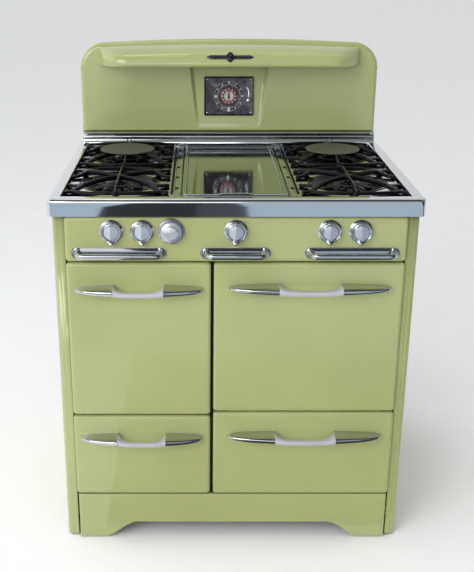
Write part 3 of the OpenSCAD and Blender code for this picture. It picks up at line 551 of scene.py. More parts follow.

# %% [markdown]
# ## Rear vent rail
#
# Behind the deck a chromed rail climbs to the backsplash, with a slot along it that lets the oven's flue
# gas out; a near-black box in the slot paints the shade inside it. It is an extrusion: one outline seen from the
# side, carried across the range.

# %% Vent rail
x0, x1, y0, y1, z0, z1 = span("vent_rail")
foot = [(y1, z0), (y0 + 10, z0), (y0 + 10, DECK_Z - 1), (y0 + 0.6, DECK_Z - 1), (y0 + 0.3, DECK_Z + 1)]
bead = [(y0 + 0.3, z0 + 9), (y0 + 1.0, z0 + 10.2), (y0 + 2.2, z0 + 10.8), (y0 + 2.2, z0 + 12),
        (y0 + 0.9, z0 + 13), (y0, z0 + 15.5), (y0, z0 + 18), (y0 + 0.9, z0 + 20.6), (y0 + 2.4, z0 + 22)]
slot = [(y0 + 9, z0 + 22.4), (y0 + 9, z0 + 26.6), (y0 + 2.4, z0 + 26.8), (y0 + 1.6, z0 + 27.8)]
top = [(y0 + 2.2, z1 - 2), (y0 + 4, z1 - 0.8), (y0 + 7, z1 - 0.2), (y1, z1 - 0.2)]
side = np.array(foot + bead + slot + top)
ease = np.array([0.0, 1.0, 2.5, 5.0])
across = np.concatenate([x0 + ease, x1 - ease[::-1]])
squeeze = np.array([2.5, 1.0, 0.3, 0, 0, 0.3, 1.0, 2.5])
rings = at(across[:, None], np.maximum(side[None, :, 0], y0 + squeeze[:, None]),
           np.minimum(side[None, :, 1], z1 - squeeze[:, None] * 0.6))
make("vent_rail_trim", skin(rings), chrome, "chassis", "vent_rail")
# Painted shade: a near-black box inside the slot stands for the shade in it.
slot_back = rounded_rect(x0 + 12, x1 - 12, z0 + 22.5, z0 + 26.5, 1.5)
slot_rings = np.array([at(slot_back[:, 0], y, slot_back[:, 1]) for y in (y0 + 3.4, y0 + 8.9)])
make("vent_slot_shade", skin(slot_rings), black_ink_and_shade, "chassis")
print("vent rail", x1 - x0, "wide")

# %% [markdown]
# ## Backsplash
#
# The backsplash is one enamelled shell. From the front it has round shoulders under a slightly arched
# top; from the side its upper part swells out into a shelf with a level underside, and in the middle
# a tapering recess leans back to carry the clock. Cutting and filleting boxes would leave hard seams,
# so the whole front is a single grid. Columns run up the panel, out along the shelf's underside, round
# its nose and back over the top; the amount that the shelf stands out fades to nothing at its ends.

# %% Backsplash front
x0, x1, y0, y1, z0, z1 = span("backsplash")
PANEL_Y = span("vent_rail")[3]
SPLASH_W = x1
SHOULDER_R = 75.0
SHOULDER_Z = z1 - 10
SHELF_Z = z1 - 71.5
SHELF_OUT = PANEL_Y - y0
SHELF_END, SHELF_FADE = 386.0, 95
RECESS_Z0 = z0 + 12
RECESS_TOP, RECESS_BOTTOM, RECESS_DEEP = 120.0, 98.0, 22.0
EDGE_R = 12.0


def top_line(x):
    """Height of the outline at x: a shallow arch, then a quarter circle at each shoulder."""
    flat = SPLASH_W - SHOULDER_R
    over = np.clip(np.abs(x) - flat, 0, SHOULDER_R)
    crown = 10 * (1 - np.clip(np.abs(x) / flat, 0, 1) ** 2)
    return SHOULDER_Z - SHOULDER_R + np.sqrt(SHOULDER_R**2 - over**2) + crown


def shelf_out(x):
    """How far the shelf stands out at x: full over the middle, and round at its two ends."""
    t = np.clip((np.abs(x) - (SHELF_END - SHELF_FADE)) / SHELF_FADE, 0, 1)
    return SHELF_OUT * (1 - t**2.6) ** 0.75


def recess_depth(z):
    """The recess leans back from nothing at its foot to its full depth under the shelf."""
    return RECESS_DEEP * np.clip((z - RECESS_Z0) / (SHELF_Z - RECESS_Z0), 0, 1)


# Each row: its share of the height below the shelf, of the shelf's reach, and of the height above it.
FILLET, FILLET_FOOT = 0.035, 0.965
climb = np.concatenate([[0, 0.004, 0.012, 0.024, 0.04], np.linspace(0.05, 0.93, 26), [0.95, FILLET_FOOT]])
rows = [(k, 0.0, 0.0) for k in climb]
rows += [(FILLET_FOOT + FILLET * math.sin(a), 0.16 * (1 - math.cos(a)), 0.0)
         for a in np.radians(np.linspace(15, 90, 7))]
rows += [(1.0, q, 0.0) for q in (0.3, 0.5, 0.7, 0.85)]
rows += [(1.0, 0.93 + 0.07 * math.sin(a), 0.11 * (1 - math.cos(a)))
         for a in np.radians(np.linspace(0, 90, 7))]
sweep = np.radians(np.linspace(4, 90, 26))
rows += [(1.0, 1 - 0.985 * (1 - math.cos(a)) ** 1.35, 0.11 + 0.72 * math.sin(a)) for a in sweep]
rows += [(1.0, 0.0, h) for h in (0.88, 0.92, 0.95, 0.97, 0.985, 0.995, 1.0)]
rows = np.array(rows)

flat = SPLASH_W - SHOULDER_R
right = np.concatenate([np.linspace(0, RECESS_TOP - 14, 16),
                        RECESS_TOP - 14 + 14 * np.linspace(0, 1, 6)[1:],
                        RECESS_TOP + 3 * np.linspace(0, 1, 4)[1:],
                        np.linspace(RECESS_TOP + 8, flat - 2, 44),
                        flat + SHOULDER_R * np.sin(np.linspace(0, np.pi / 2, 30))])
columns = np.concatenate([-right[:0:-1], right])
ref_top = top_line(np.minimum(np.abs(columns), SHELF_END))
level = z0 + rows[:, 0][:, None] * (SHELF_Z - z0) + rows[:, 2][:, None] * (ref_top - SHELF_Z)[None]
shrink = (top_line(columns) - z0) / (ref_top - z0)
level = z0 + (level - z0) * shrink[None]
up_recess = np.clip((level - RECESS_Z0) / (SHELF_Z - RECESS_Z0), 0, 1)
wall_half = RECESS_BOTTOM + (RECESS_TOP - RECESS_BOTTOM) * up_recess
a = np.abs(columns)[None]
inner = a * wall_half / RECESS_TOP
outer = a - (RECESS_TOP - wall_half) * np.clip((SHELF_END - a) / (SHELF_END - RECESS_TOP), 0, 1)
x = np.sign(columns)[None] * np.where(a <= RECESS_TOP, inner, outer)
wall = np.clip((RECESS_TOP - a) / 11.0, 0, 1)
wall = wall * wall * (3 - 2 * wall)
panel = PANEL_Y + recess_depth(np.minimum(level, SHELF_Z)) * wall * (rows[:, 2][:, None] < 0.5)
y = panel + (PANEL_Y - shelf_out(x) - panel) * rows[:, 1][:, None]
from_side = np.where(level < SHOULDER_Z - SHOULDER_R, SPLASH_W - np.abs(x), 1e3)
corner = np.hypot(np.clip(np.abs(x) - flat, 0, None), np.clip(level - (SHOULDER_Z - SHOULDER_R), 0, None))
from_corner = np.where((np.abs(x) > flat) & (level > SHOULDER_Z - SHOULDER_R), SHOULDER_R - corner, 1e3)
from_top = np.where(np.abs(x) <= flat, top_line(x) - level, 1e3)
near = np.minimum(np.minimum(from_side, from_corner), np.minimum(from_top, (level - z0) * 2.4))
near = np.clip(near, 0, EDGE_R)
y = y + EDGE_R - np.sqrt(EDGE_R**2 - (EDGE_R - near) ** 2)
front = at(x, y, level)

# %% Backsplash shell: the front, its return to the wall, and a flat back
rim = np.concatenate([front[0, :-1], front[:-1, -1], front[-1, :0:-1], front[:0:-1, 0]])
back_rim = rim.copy()
back_rim[:, 1] = BAND_Y + (y1 - 0.3) * MM
points, faces = sheet(front)
start = len(points)
n = len(rim)
points = np.concatenate([points, rim, back_rim])
side_faces = [[start + i, start + (i + 1) % n, start + n + (i + 1) % n, start + n + i] for i in range(n)]
shell = points, faces + side_faces + [[start + n + i for i in range(n)]]
make("backsplash_shell", shell, enamel, "chassis", "backsplash")
print("backsplash grid:", front.shape[:2])

# %% [markdown]
# ## Shelf lamp
#
# Under the shelf's right half a small lamp lights the cooktop. Only its slot and a strip of lens show;
# the slot is a near-black box that paints the shade inside it. Both hang from the underside and ride with the
# chassis.

# %% Shelf lamp
# Painted shade: the slot is a near-black box rather than an opening.
slot_ring = rounded_rect(192, 308, PANEL_Y - 74, PANEL_Y - 50, 5)
lamp = np.array([at(slot_ring[:, 0], slot_ring[:, 1], z) for z in (SHELF_Z + 4, SHELF_Z - 1.2)])
make("lamp_slot_shade", skin(lamp), black_ink_and_shade, "chassis")
lens = np.stack([np.linspace(202, 298, 24), np.full(24, PANEL_Y - 62.0), np.full(24, SHELF_Z - 1.0)], -1)
make("lamp_lens", drawn(lens, 8.0, 2.6, sides=12), mark_white, "chassis")

# %% [markdown]
# ## Emblem
#
# A small die-cast bar with two pointed wings and a plain boss stands on the shelf's nose. It is made
# without any mark. Its face follows the nose, so its frame comes from two points of the surface.

# %% Emblem
mid = len(columns) // 2
emblem_z = sum(span("emblem")[4:]) / 2
target = int(np.argmin(np.abs(level[:, mid] - emblem_z) + 100 * (rows[:, 2] < 0.2)))
spot = front[target, mid]
lift = front[target + 1, mid] - front[target - 1, mid]
lift /= np.linalg.norm(lift)
out = np.array([0, -lift[2], lift[1]])


def on_nose(x, w, h):
    """A point x across the emblem, w up it and h out of it."""
    x, w, h = np.broadcast_arrays(x, w, h)
    return spot + (x[..., None] * np.array([1, 0, 0]) + w[..., None] * lift + h[..., None] * out) * MM


def emblem_bar(half, tall, proud, n=81):
    """A fluted bar, rounded across, whose ends narrow to a point over their last sixth."""
    s = np.linspace(-1, 1, n)
    body = np.clip((1 - np.abs(s)) / 0.17, 0.03, 1) ** 0.75
    ridge = np.array([(-1, -0.7), (-0.96, 0.2), (-0.7, 0.72), (-0.35, 0.94), (0, 1.0), (0.35, 0.94),
                      (0.7, 0.72), (0.96, 0.2), (1, -0.7)])
    flutes = 1 - 0.16 * (0.5 + 0.5 * np.cos(s * 92)) * (np.abs(s) > 0.2) * (np.abs(s) < 0.8)
    w = ridge[None, :, 0] * tall * body[:, None]
    h = ridge[None, :, 1] * proud * (body * flutes)[:, None]
    return skin(on_nose(half * s[:, None] + 0 * w, w, h))


def emblem_boss(r, proud):
    """A plain shield: a round boss a little taller than wide, with a raised rim and a low dome."""
    profile = np.array([(0, 1.0), (0.35, 0.94), (0.55, 0.8), (0.62, 0.62), (0.7, 0.62), (0.78, 1.02),
                        (0.88, 1.05), (0.97, 0.8), (1.0, -0.5)])
    t = np.linspace(0, 2 * np.pi, 48, endpoint=False)
    rr = profile[:, 0][:, None] * r * (1 + 0.05 * np.cos(4 * t))
    return skin(on_nose(rr * np.cos(t) * 0.92, rr * np.sin(t) * 1.2,
                        profile[:, 1][:, None] * proud + 0 * t))


emblem = join(emblem_bar(69, 6.4, 3.0), emblem_boss(12.0, 4.6))
make("emblem_casting", emblem, dark_chrome, "chassis", "emblem")
print("emblem at height", round(spot[2], 3))

# %% [markdown]
# ## Clock
#
# The clock leans back in the recess: a dark polished plate, a silver timer ring with its minute ticks,
# a red dial, and two black hands. All of it is worked out flat, in a frame whose third axis points out
# of the dial. That axis is the hands' joint axis in the CAD model, turned to face outwards.

# %% The clock's own frame
hand_joint = next(j for j in frame["joints"] if j["name"] == "minute_hand_turn")
CLOCK = np.array(hand_joint["pos_m"])
clock_out = -np.array(hand_joint["axis"])
clock_up = np.cross(clock_out, (1, 0, 0))


def on_clock(x, w, h):
    """A point x across the clock, w up it and h out of it, in millimetres from the hands' shaft."""
    x, w, h = np.broadcast_arrays(np.asarray(x, float), w, h)
    point = x[..., None] * np.array([1, 0, 0]) + w[..., None] * clock_up + h[..., None] * clock_out
    return CLOCK + point * MM


def clock_turned(profile, x=0.0, w=0.0, sides=72):
    """A profile of (radius, height) turned on the clock's face about (x, w)."""
    t = np.linspace(0, 2 * np.pi, sides, endpoint=False)
    profile = np.asarray(profile, float)
    r, h = profile[:, 0][:, None], profile[:, 1][:, None]
    return skin(on_clock(x + r * np.cos(t), w + r * np.sin(t), h + 0 * t))


def ring_of(inner, outer, low, high, edge=0.5):
    """A flat washer with softened edges, as a closed loop of profile points."""
    profile = [(inner, low), (inner, high - edge), (inner + edge, high), (outer - edge, high),
               (outer, high - edge), (outer, low)]
    t = np.linspace(0, 2 * np.pi, 96, endpoint=False)
    p = np.array(profile + profile[:1])
    r, h = p[:, 0][:, None], p[:, 1][:, None]
    loops = on_clock(r * np.cos(t), r * np.sin(t), h + 0 * t)
    return loops.reshape(-1, 3), grid_faces(len(p), 96, wrap=True)


def tick(angle, r0, r1, wide, h, tall=0.35):
    """A small raised bar that points outwards from the shaft, clockwise from twelve."""
    c, s = math.cos(math.radians(angle)), math.sin(math.radians(angle))
    flat = np.array([(-wide, r0), (wide, r0), (wide * 1.2, r1), (-wide * 1.2, r1)])
    x, w = flat[:, 0] * c + flat[:, 1] * s, -flat[:, 0] * s + flat[:, 1] * c
    return skin(np.array([on_clock(x, w, h), on_clock(x, w, h + tall)]))


# %% Plate, timer ring and dial
half_w, half_h = 75, 58
plate_rings = []
for inset, h in [(0, 0.4), (0, 5.0), (0.7, 6.6), (2.0, 7.3), (3.4, 6.6), (4.0, 5.0), (4.6, 3.9),
                 (6.5, 3.5), (50, 3.5)]:
    ring = rounded_rect(-half_w + inset, half_w - inset, -half_h + inset, half_h - inset,
                        max(5 - inset, 1.0))
    plate_rings.append(on_clock(ring[:, 0], ring[:, 1], h))
shaft = clock_turned([(0, 11.3), (1.6, 11.3), (2.2, 10.8), (2.4, 10), (2.4, 3.4), (0, 3.4)], sides=24)
clock_press = join(skin(np.array(plate_rings)), shaft)
make("clock_plate_press", clock_press, dark_chrome, "chassis", "clock_plate")
numerals = [tick(a, 37.5, 42.5, 0.9 if a % 90 else 1.8, 6.2) for a in range(0, 360, 30)]
minutes = [tick(a, 33.5, 36.0, 0.4, 6.2) for a in range(0, 360, 6)]
ring = ring_of(25.4, 45, 3.7, 6.3, 0.8)
make("timer_ring_silver", ring, dark_chrome, "timer_ring", "timer_ring")
make("timer_ring_marks", join(*numerals, *minutes), mark_white, "timer_ring")
pointer = tick(180, 33, 46, 2.4, 6.2, 2.4)
ball = clock_turned([(0, 11.2), (2.4, 10.8), (3.8, 9.4), (4.2, 7.6), (3.4, 6.2), (0, 6.0)],
                    -39 * math.cos(0.05), -1.0, 28)
tip = clock_turned([(0, 11.0), (2.6, 10.4), (3.8, 9.0), (4.0, 7.4), (3.2, 6.2), (0, 6.0)], 0, -41, 28)
make("timer_pointer", join(pointer, ball, tip), mark_white, "timer_ring", bevel=0.4)
glint = ring_of(43.2, 45.6, 3.9, 7.4, 0.6)
make("timer_ring_rim", glint, chrome, "timer_ring")
dial = clock_turned([(2.9, 3.6), (2.9, 6.4), (14.0, 6.4), (14.4, 6.55), (24.2, 6.55), (25.0, 6.0),
                     (25.0, 3.6)])
make("dial_red_face", dial, dial_red, "chassis", "clock_dial")
silver = clock_turned([(2.9, 6.0), (2.9, 6.62), (14.2, 6.62), (14.6, 6.0)])
make("dial_silver_face", silver, dial_silver, "chassis")
hours = [tick(a, 17.5, 22.5, 0.9, 6.45, 0.3) for a in range(0, 360, 30)]
make("dial_marks", join(*hours), mark_white, "chassis")

# %% Hands and switch
def hand(angle, length, wide, tail, h):
    """A lance-shaped hand round the shaft, flat below and ridged above."""
    c, s = math.cos(math.radians(angle)), math.sin(math.radians(angle))
    outline = np.array([(0, -tail), (wide * 0.6, -tail * 0.4), (wide, 0), (wide * 0.9, length * 0.35),
                        (0.25, length), (-0.25, length), (-wide * 0.9, length * 0.35), (-wide, 0),
                        (-wide * 0.6, -tail * 0.4)])
    rings = []
    for scale, level in [(1.0, 0.0), (1.0, 0.35), (0.75, 0.7)]:
        x, w = outline[:, 0] * scale, outline[:, 1] * (1 - (1 - scale) * 0.15)
        rings.append(on_clock(x * c + w * s, -x * s + w * c, h + level))
    return skin(np.array(rings))


make("hour_hand_lance", hand(180, 14.5, 2.6, 4.5, 7.1), black_ink_and_shade, "hour_hand", "hour_hand")
make("minute_hand_lance", hand(0, 20.5, 2.0, 6.0, 8.7), black_ink_and_shade, "minute_hand", "minute_hand")
lever_places = [(59, -10, 6), (60, -2, 9), (61, 8, 9.5), (59, 18, 8.5), (55, 26, 8.5)]
lever = [on_clock(x, w, h) for x, w, h in lever_places]
lever_path = curve_through([((p[0]) / MM, (p[1] - BAND_Y) / MM, p[2] / MM) for p in lever], 20)
lever_bar = drawn(lever_path, 2.0 + 1.8 * np.linspace(0, 1, 20) ** 2, 1.6, up=clock_out, sides=10)
lever_foot = clock_turned([(0, 9.6), (4, 9.4), (5.5, 8.2), (6, 6), (6, 3.4)], 59, -12, 28)
make("switch_lever", join(lever_bar, lever_foot), satin_chrome, "chassis")
screws = [clock_turned([(0, 5.4), (1.4, 5.2), (2.2, 4.6), (2.4, 3.4)], sx * 66, sw * 49, 20)
          for sx in (-1, 1) for sw in (-1, 1)]
make("clock_screws", join(*screws), satin_chrome, "chassis")
print("clock at", CLOCK)

# %% [markdown]
# ## Griddle
#
# A chromed frame with a row of vent holes down each side drops into the deck. A steel plate lies in it,
# and over that a polished cover with a raised bead round its border and a lip to lift it by.

# %% Griddle frame and cover
x0, x1, y0, y1, z0, z1 = span("griddle_frame")
OPEN = span("griddle_cover")
VENT_X, VENT_FIRST, VENT_STEP, VENTS_A_SIDE = 147, 104, 120, 5
vent_places = [(s * VENT_X, y0 + VENT_FIRST + VENT_STEP * i)
               for s in (-1, 1) for i in range(VENTS_A_SIDE)]
vents = [circle(x, y, 5.8, 20, 2.0) for x, y in vent_places]
well_x0, well_x1, well_y0, well_y1 = OPEN[0] - 2, OPEN[1] + 2, OPEN[2] - 2, OPEN[3] + 2
opening = rounded_rect(well_x0, well_x1, well_y0, well_y1, 4)
top_plate = plate([rounded_rect(x0 + 1.2, x1 - 1.2, y0 + 1.2, y1 - 1.2, 6), opening] + vents, z1, 1.2)
rim_loop = [(0, z1 - 3.2), (0, z1 - 1.6), (0.5, z1 - 0.5), (1.4, z1 - 0.1), (2.0, z1 - 1.3),
            (2.0, z1 - 3.2), (0, z1 - 3.2)]
rings = [rounded_rect(x0 + i, x1 - i, y0 + i, y1 - i, 7 - i) for i, _ in rim_loop]
outer_rim = np.array([at(r[:, 0], r[:, 1], z) for r, (_, z) in zip(rings, rim_loop)])
well_loop = [(0, z1 - 0.6), (0, z0 + 2), (8, z0 + 1), (8, z0), (-1.5, z0), (-1.5, z1 - 1), (0, z1 - 0.6)]
rings = [rounded_rect(well_x0 + i, well_x1 - i, well_y0 + i, well_y1 - i, 4) for i, _ in well_loop]
well = np.array([at(r[:, 0], r[:, 1], z) for r, (_, z) in zip(rings, well_loop)])
loops = [(r.reshape(-1, 3), grid_faces(r.shape[0], r.shape[1], wrap=True)) for r in (outer_rim, well)]
make("griddle_frame_press", join(top_plate, *loops), griddle_chrome, "chassis", "griddle_frame")
# Painted shade: a near-black cup inside each vent hole stands for the shade in it.
hole_shade_cups = [skin(np.array([at(*circle(x, y, 5.6, 20, 2.0).T, z) for z in (z1 - 2.2, z1 - 0.7)]))
        for x, y in vent_places]
make("griddle_vent_hole_shade", join(*hole_shade_cups), black_ink_and_shade, "chassis")

x0, x1, y0, y1, z0, z1 = OPEN
top_z = z0 + 8.8
bead = [(15 + 4 * math.cos(t), 2.2 * math.sin(t)) for t in np.radians(np.linspace(180, 0, 9))]
steps = [(2, z0), (0.6, z0), (0, z0 + 0.6), (0, top_z - 3), (0.8, top_z - 1), (2.6, top_z - 0.1),
         (4, top_z), (9, top_z)]
steps += [(26 - i, top_z + h) for i, h in bead]
steps += [(26, top_z - 0.1), (70, top_z - 0.3), (132, top_z - 0.4)]
steps = sorted(steps[:8]) + sorted(steps[8:])
rings = []
for inset, z in steps:
    ring = rounded_rect(x0 + inset, x1 - inset, y0 + inset, y1 - inset, max(9 - inset * 0.25, 3), 8)
    rings.append(at(ring[:, 0], ring[:, 1], z))
cover = skin(np.array(rings))
share = np.linspace(-1, 1, 30)
lip_x = np.linspace(-46, 46, 30)
lip_path = np.stack([lip_x, y0 + 12 + 0 * lip_x, top_z + 1.2 + 3.2 * (1 - np.abs(share) ** 4)], -1)
lip = drawn(lip_path, 4.0, 1.2, sides=14)
make("griddle_cover_press", join(cover, lip), griddle_chrome, "griddle_cover", "griddle_cover")
print("griddle cover", x1 - x0, "by", y1 - y0)

# %% [markdown]
# ## Burners and bowls
#
# Each burner is a cast star with a raised cap, in the middle of a black bowl. A star is a turned
# profile whose radius swells ten times round the circle, so one wave does the work of ten arms.

# %% Bowls and star burners
bowl_top = [(34, -17.5), (60, -18), (74, -15.5), (84, -10), (92, -4.5), (97, -1.0), (100, 0.9),
            (102.5, 1.5), (104, 1.2)]
bowl_under = [(104, 0.1), (98, -2.2), (92, -6), (84, -11.5), (74, -17), (60, -19.3), (34, -19.2),
              (34, -17.5)]


def ten_arms(t):
    """The star's outline: its radius swells and shrinks ten times round the circle."""
    return 1 + 0.16 * np.cos(10 * t)


bowl_shapes, star_shapes = [], []
star = [(0, -3), (16, -3), (18, -2), (20, -1.5), (44, -3.5), (55, -6.5), (57, -10), (54, -14),
        (40, -17), (14, -18), (0, -18)]
cap = [(0, 6.0), (13, 5.6), (18, 4.2), (20.5, 1.8), (20, -2), (0, -2)]
for s in (-1, 1):
    for y in BURNER_YS:
        centre = (s * BURNER_X, y, DECK_Z)
        bowl_points, bowl_faces = turned(bowl_top + bowl_under, centre, sides=72)
        bowl_shapes.append((bowl_points, [face for face in bowl_faces if len(face) == 4]))
        star_shapes.append(turned(star, centre, sides=140, wave=ten_arms))
        star_shapes.append(turned(cap, centre, sides=48))
make("bowl_set", join(*bowl_shapes), bowl_black, "chassis", "burner_bowls")
make("star_burner_set", join(*star_shapes), porcelain, "chassis")

# %% [markdown]
# ## Grates
#
# A grate is one iron casting under black porcelain: a hub, four arms that sweep out and each split into
# two prongs, a bowed bar across the front and the back, and a bar from front to back with a foot at
# each end. Every bar is a rounded section carried along a smooth curve. The same curves make all four.

# %% Grate casting
x0, x1, y0, y1, GRATE_Z, _ = span("grate_front_right")
TIP_X = x1 - BURNER_X - 5
HALF_DEEP = (y1 - y0) / 2
GRATE_TALL = span("burner_cover_right")[4] - GRATE_Z


def casting(cx, cy, base):
    """One grate, centred over its burner, with its feet at height base."""
    def bar(points, width, height, n=24, power=2.1):
        path = curve_through(points, n) + [cx, cy, base]
        return drawn(path, width, height, sides=16, power=power)

    def quarter(sx, sy):
        """An arm from the hub to a corner, which forks there into two fat prongs."""
        top = GRATE_TALL - 7
        taper = np.linspace(0, 1, 24)
        wide, tall = 7.4 - 1.2 * taper, 5.6 - 1.6 * taper
        arm = bar([(5 * sx, 4 * sy, top), (34 * sx, 28 * sy, top + 0.6), (62 * sx, 55 * sy, top - 0.6),
                   (84 * sx, 76 * sy, 10.5), (100 * sx, 84 * sy, 6)], 4.0 + 7.0 * taper**2,
                  6.8 - 1.0 * taper)
        far_prong = bar([(88 * sx, 78 * sy, 9.5), (101 * sx, 66 * sy, 6.5), (113 * sx, 53 * sy, 3.8),
                         (TIP_X * sx, 46 * sy, 2.6)], wide, tall)
        near_prong = bar([(86 * sx, 82 * sy, 9.5), (98 * sx, 100 * sy, 6.5), (110 * sx, 114 * sy, 3.8),
                          (TIP_X * sx, 120 * sy, 2.6)], wide, tall)
        return [arm, far_prong, near_prong]

    def bow(sy):
        """The bar that runs from one near prong past the front of the bowl to the other."""
        across = np.linspace(-1, 1, 61)
        depth = 114 + 27 * (1 - np.abs(across) ** 2.4)
        wide = 4.6 + 3.4 * np.clip((np.abs(across) - 0.55) / 0.35, 0, 1) ** 2
        height = base + 3.0 + 2.2 * (1 - across**2)
        path = np.stack([cx + (TIP_X - 15) * across, cy + sy * depth, height], -1)
        return drawn(path, wide, 4.4, sides=16, power=2.1)

    def knobbed(x, y):
        """The rounded end of a prong."""
        profile = [(0, 7.0), (4.0, 6.6), (6.0, 5.0), (6.6, 2.6), (6.2, 0.4), (4.6, -1.1), (0, -1.4)]
        return turned(profile, (cx + x, cy + y, base), sides=24)

    spine_y = np.linspace(-HALF_DEEP + 7, HALF_DEEP - 7, 70)
    share = np.clip((np.abs(spine_y) - 90) / (HALF_DEEP - 97), 0, 1)
    spine_z = GRATE_TALL - 6 - (GRATE_TALL - 13) * (3 * share**2 - 2 * share**3)
    spine_path = np.stack([cx + 0 * spine_y, cy + spine_y, base + spine_z], -1)
    spine = drawn(spine_path, 3.6, 6.0, sides=16, power=2.0)
    foot = [(0, 0), (5.0, 0), (6.8, 1.2), (7, 4), (5.4, 9), (3.6, 12), (0, 13)]
    feet = [turned(foot, (cx, cy + s * (HALF_DEEP - 7), base), sides=24) for s in (-1, 1)]
    hub = turned([(0, GRATE_TALL - 0.4), (7, GRATE_TALL - 0.6), (10, GRATE_TALL - 1.8),
                  (11, GRATE_TALL - 4), (10.5, 8), (0, 6)],
                 (cx, cy, base), sides=32)
    tips = [knobbed(sx * (TIP_X - 1), sy * y) for sx in (-1, 1) for sy in (-1, 1) for y in (46.0, 120.0)]
    arms = [shape for sx in (-1, 1) for sy in (-1, 1) for shape in quarter(sx, sy)]
    return join(*arms, bow(-1), bow(1), spine, *feet, hub, *tips)


GRATES = (("front_left", -1, 0), ("front_right", 1, 0), ("rear_left", -1, 1), ("rear_right", 1, 1))
for name, s, row in GRATES:
    node = "grate_" + name
    grate = casting(s * BURNER_X, BURNER_YS[row], span(node)[4])
    make(node + "_casting", grate, porcelain, node, node)
print("grates done, prongs reach", TIP_X)

# %% [markdown]
# ## Burner covers
#
# A dark disc lies on each rear grate to hide it. It is a pressed lid with a rolled rim and a small ring
# at its back to lift it by.

# %% Burner covers
COVER_R = 78.0
for name, s in (("left", -1), ("right", 1)):
    node = "burner_cover_" + name
    low = span(node)[4]
    cy, r = BURNER_YS[1], COVER_R
    lid = turned([(0, 3.1), (r - 16, 3.1), (r - 4, 2.9), (r - 1.2, 2.5), (r, 1.5), (r - 0.3, 0.3),
                  (r - 2, 0), (0, 0.4)],
                 (s * BURNER_X, cy, low), sides=110)
    t = np.linspace(0, 2 * np.pi, 41)
    loop = np.stack([s * BURNER_X + 6.0 * np.cos(t), cy + r + 0.4 + 0 * t, low + 9 + 6.4 * np.sin(t)], -1)
    ear = drawn(loop, 1.5, 2.0, up=(0, 1, 0.001), sides=12)
    make(node + "_lid", join(lid, ear), cover_enamel, node, node)

# %% [markdown]
# ## Handles
#
# Each handle has three pieces: a white moulded grip that bows forward to leave room for fingers, and a
# chromed torpedo at each end that thins to a blunt tip on the door. The CAD gives one outline seen
# from above, a blunt oval, and both pieces follow it, so that they meet in one smooth line.

# %% Handle shapes
HANDLE_TALL = 10.9
GRIP_SHARE = 0.385  # how much of the handle's half length is white grip; the chrome has the other 0.615


def bow_out(x, half, reach):
    """How far the handle stands out of the face at x: a blunt oval."""
    return reach * np.clip(1 - np.abs(x / half) ** 2.5, 0, 1) ** 0.4


def half_tall(x, half):
    """Half the handle's height at x: it thins slowly outwards, then rounds off to a blunt tip."""
    s = np.clip((np.abs(x) / half - GRIP_SHARE) / 0.615, 0, 1)
    return HANDLE_TALL * (1 - 0.40 * s**1.5) * np.sqrt(1 - s**9)


def squared(angle, power=0.62):
    """Cosine and sine of an angle, pushed outwards so that the circle they draw has fuller corners."""
    c, s = np.cos(angle), np.sin(angle)
    return np.sign(c) * np.abs(c) ** power, np.abs(s) ** power


def torpedo(cx, cz, half, grip, reach, side):
    """A chromed end: a full D-shaped section that shrinks to a blunt tip along the face."""
    t = np.linspace(0, np.pi / 2, 40)
    xs = grip + (half - grip - 0.2) * np.sin(t)
    xs = np.concatenate([[grip, grip + 0.6], xs[1:]])
    out = np.maximum(bow_out(xs, half, reach) * 0.98, 0.8)
    tall = np.maximum(half_tall(xs, half), 0.6)
    c, sn = squared(np.linspace(0, np.pi, 37))
    return skin(at(cx + side * xs[:, None], FACE_Y - out[:, None] * sn[None],
                   cz - tall[:, None] * c[None]))


def cuff(cx, cz, half, grip, reach, side):
    """A thin raised ring where a torpedo meets the grip."""
    xs = grip + np.array([0.2, 0.8, 3.4, 4.0])
    out = np.minimum(bow_out(xs, half, reach) * 0.98 + np.array([0.0, 0.9, 0.9, 0.0]), reach)
    tall = half_tall(xs, half) + np.array([0.05, 0.5, 0.5, 0.05])
    c, sn = squared(np.linspace(0, np.pi, 37))
    return skin(at(cx + side * xs[:, None], FACE_Y - out[:, None] * sn[None],
                   cz - tall[:, None] * c[None]))


def grip_bar(cx, cz, half, grip, reach):
    """The white grip: as deep as the ends where it meets them, and a thin bowed bar between."""
    xs = np.linspace(-grip, grip, 81)
    share = np.abs(xs) / grip
    scoop = np.clip(1 - (share / 0.955) ** 5.0, 0, 1) ** 0.75
    front_out = bow_out(xs, half, reach) * 0.985
    back_out = (front_out - 12.5) * scoop
    deep = (front_out - back_out) / 2
    middle = (front_out + back_out) / 2
    full = half_tall(grip, half)
    up = full * (1 - 0.80 * scoop)
    down = full * (1 - 0.05 * scoop)
    phi = np.linspace(0, 2 * np.pi, 32, endpoint=False)
    c = np.sign(np.cos(phi)) * np.abs(np.cos(phi)) ** (2 / 3.0)
    sn = np.sign(np.sin(phi)) * np.abs(np.sin(phi)) ** (2 / 3.0)
    y = FACE_Y - middle[:, None] + deep[:, None] * c[None]
    z = cz + np.where(sn > 0, up[:, None] * sn[None], down[:, None] * sn[None])
    return skin(at(cx + xs[:, None], y, z))


FRONTS_WITH_HANDLES = ("oven_door", "storage_door", "storage_drawer", "broiler_drawer")
for body in FRONTS_WITH_HANDLES:
    node = body + "_handle"
    x0, x1, y0, y1, z0, z1 = span(node)
    cx, cz, half, reach = (x0 + x1) / 2, (z0 + z1) / 2, (x1 - x0) / 2, FACE_Y - y0
    grip = half * GRIP_SHARE
    ends = [f(cx, cz, half, grip, reach, s) for s in (-1, 1) for f in (torpedo, cuff)]
    make(node + "_ends", join(*ends), chrome, body, node)
    make(node + "_grip", grip_bar(cx, cz, half, grip, reach), grip_white, body)
print("handles:", len(FRONTS_WITH_HANDLES))

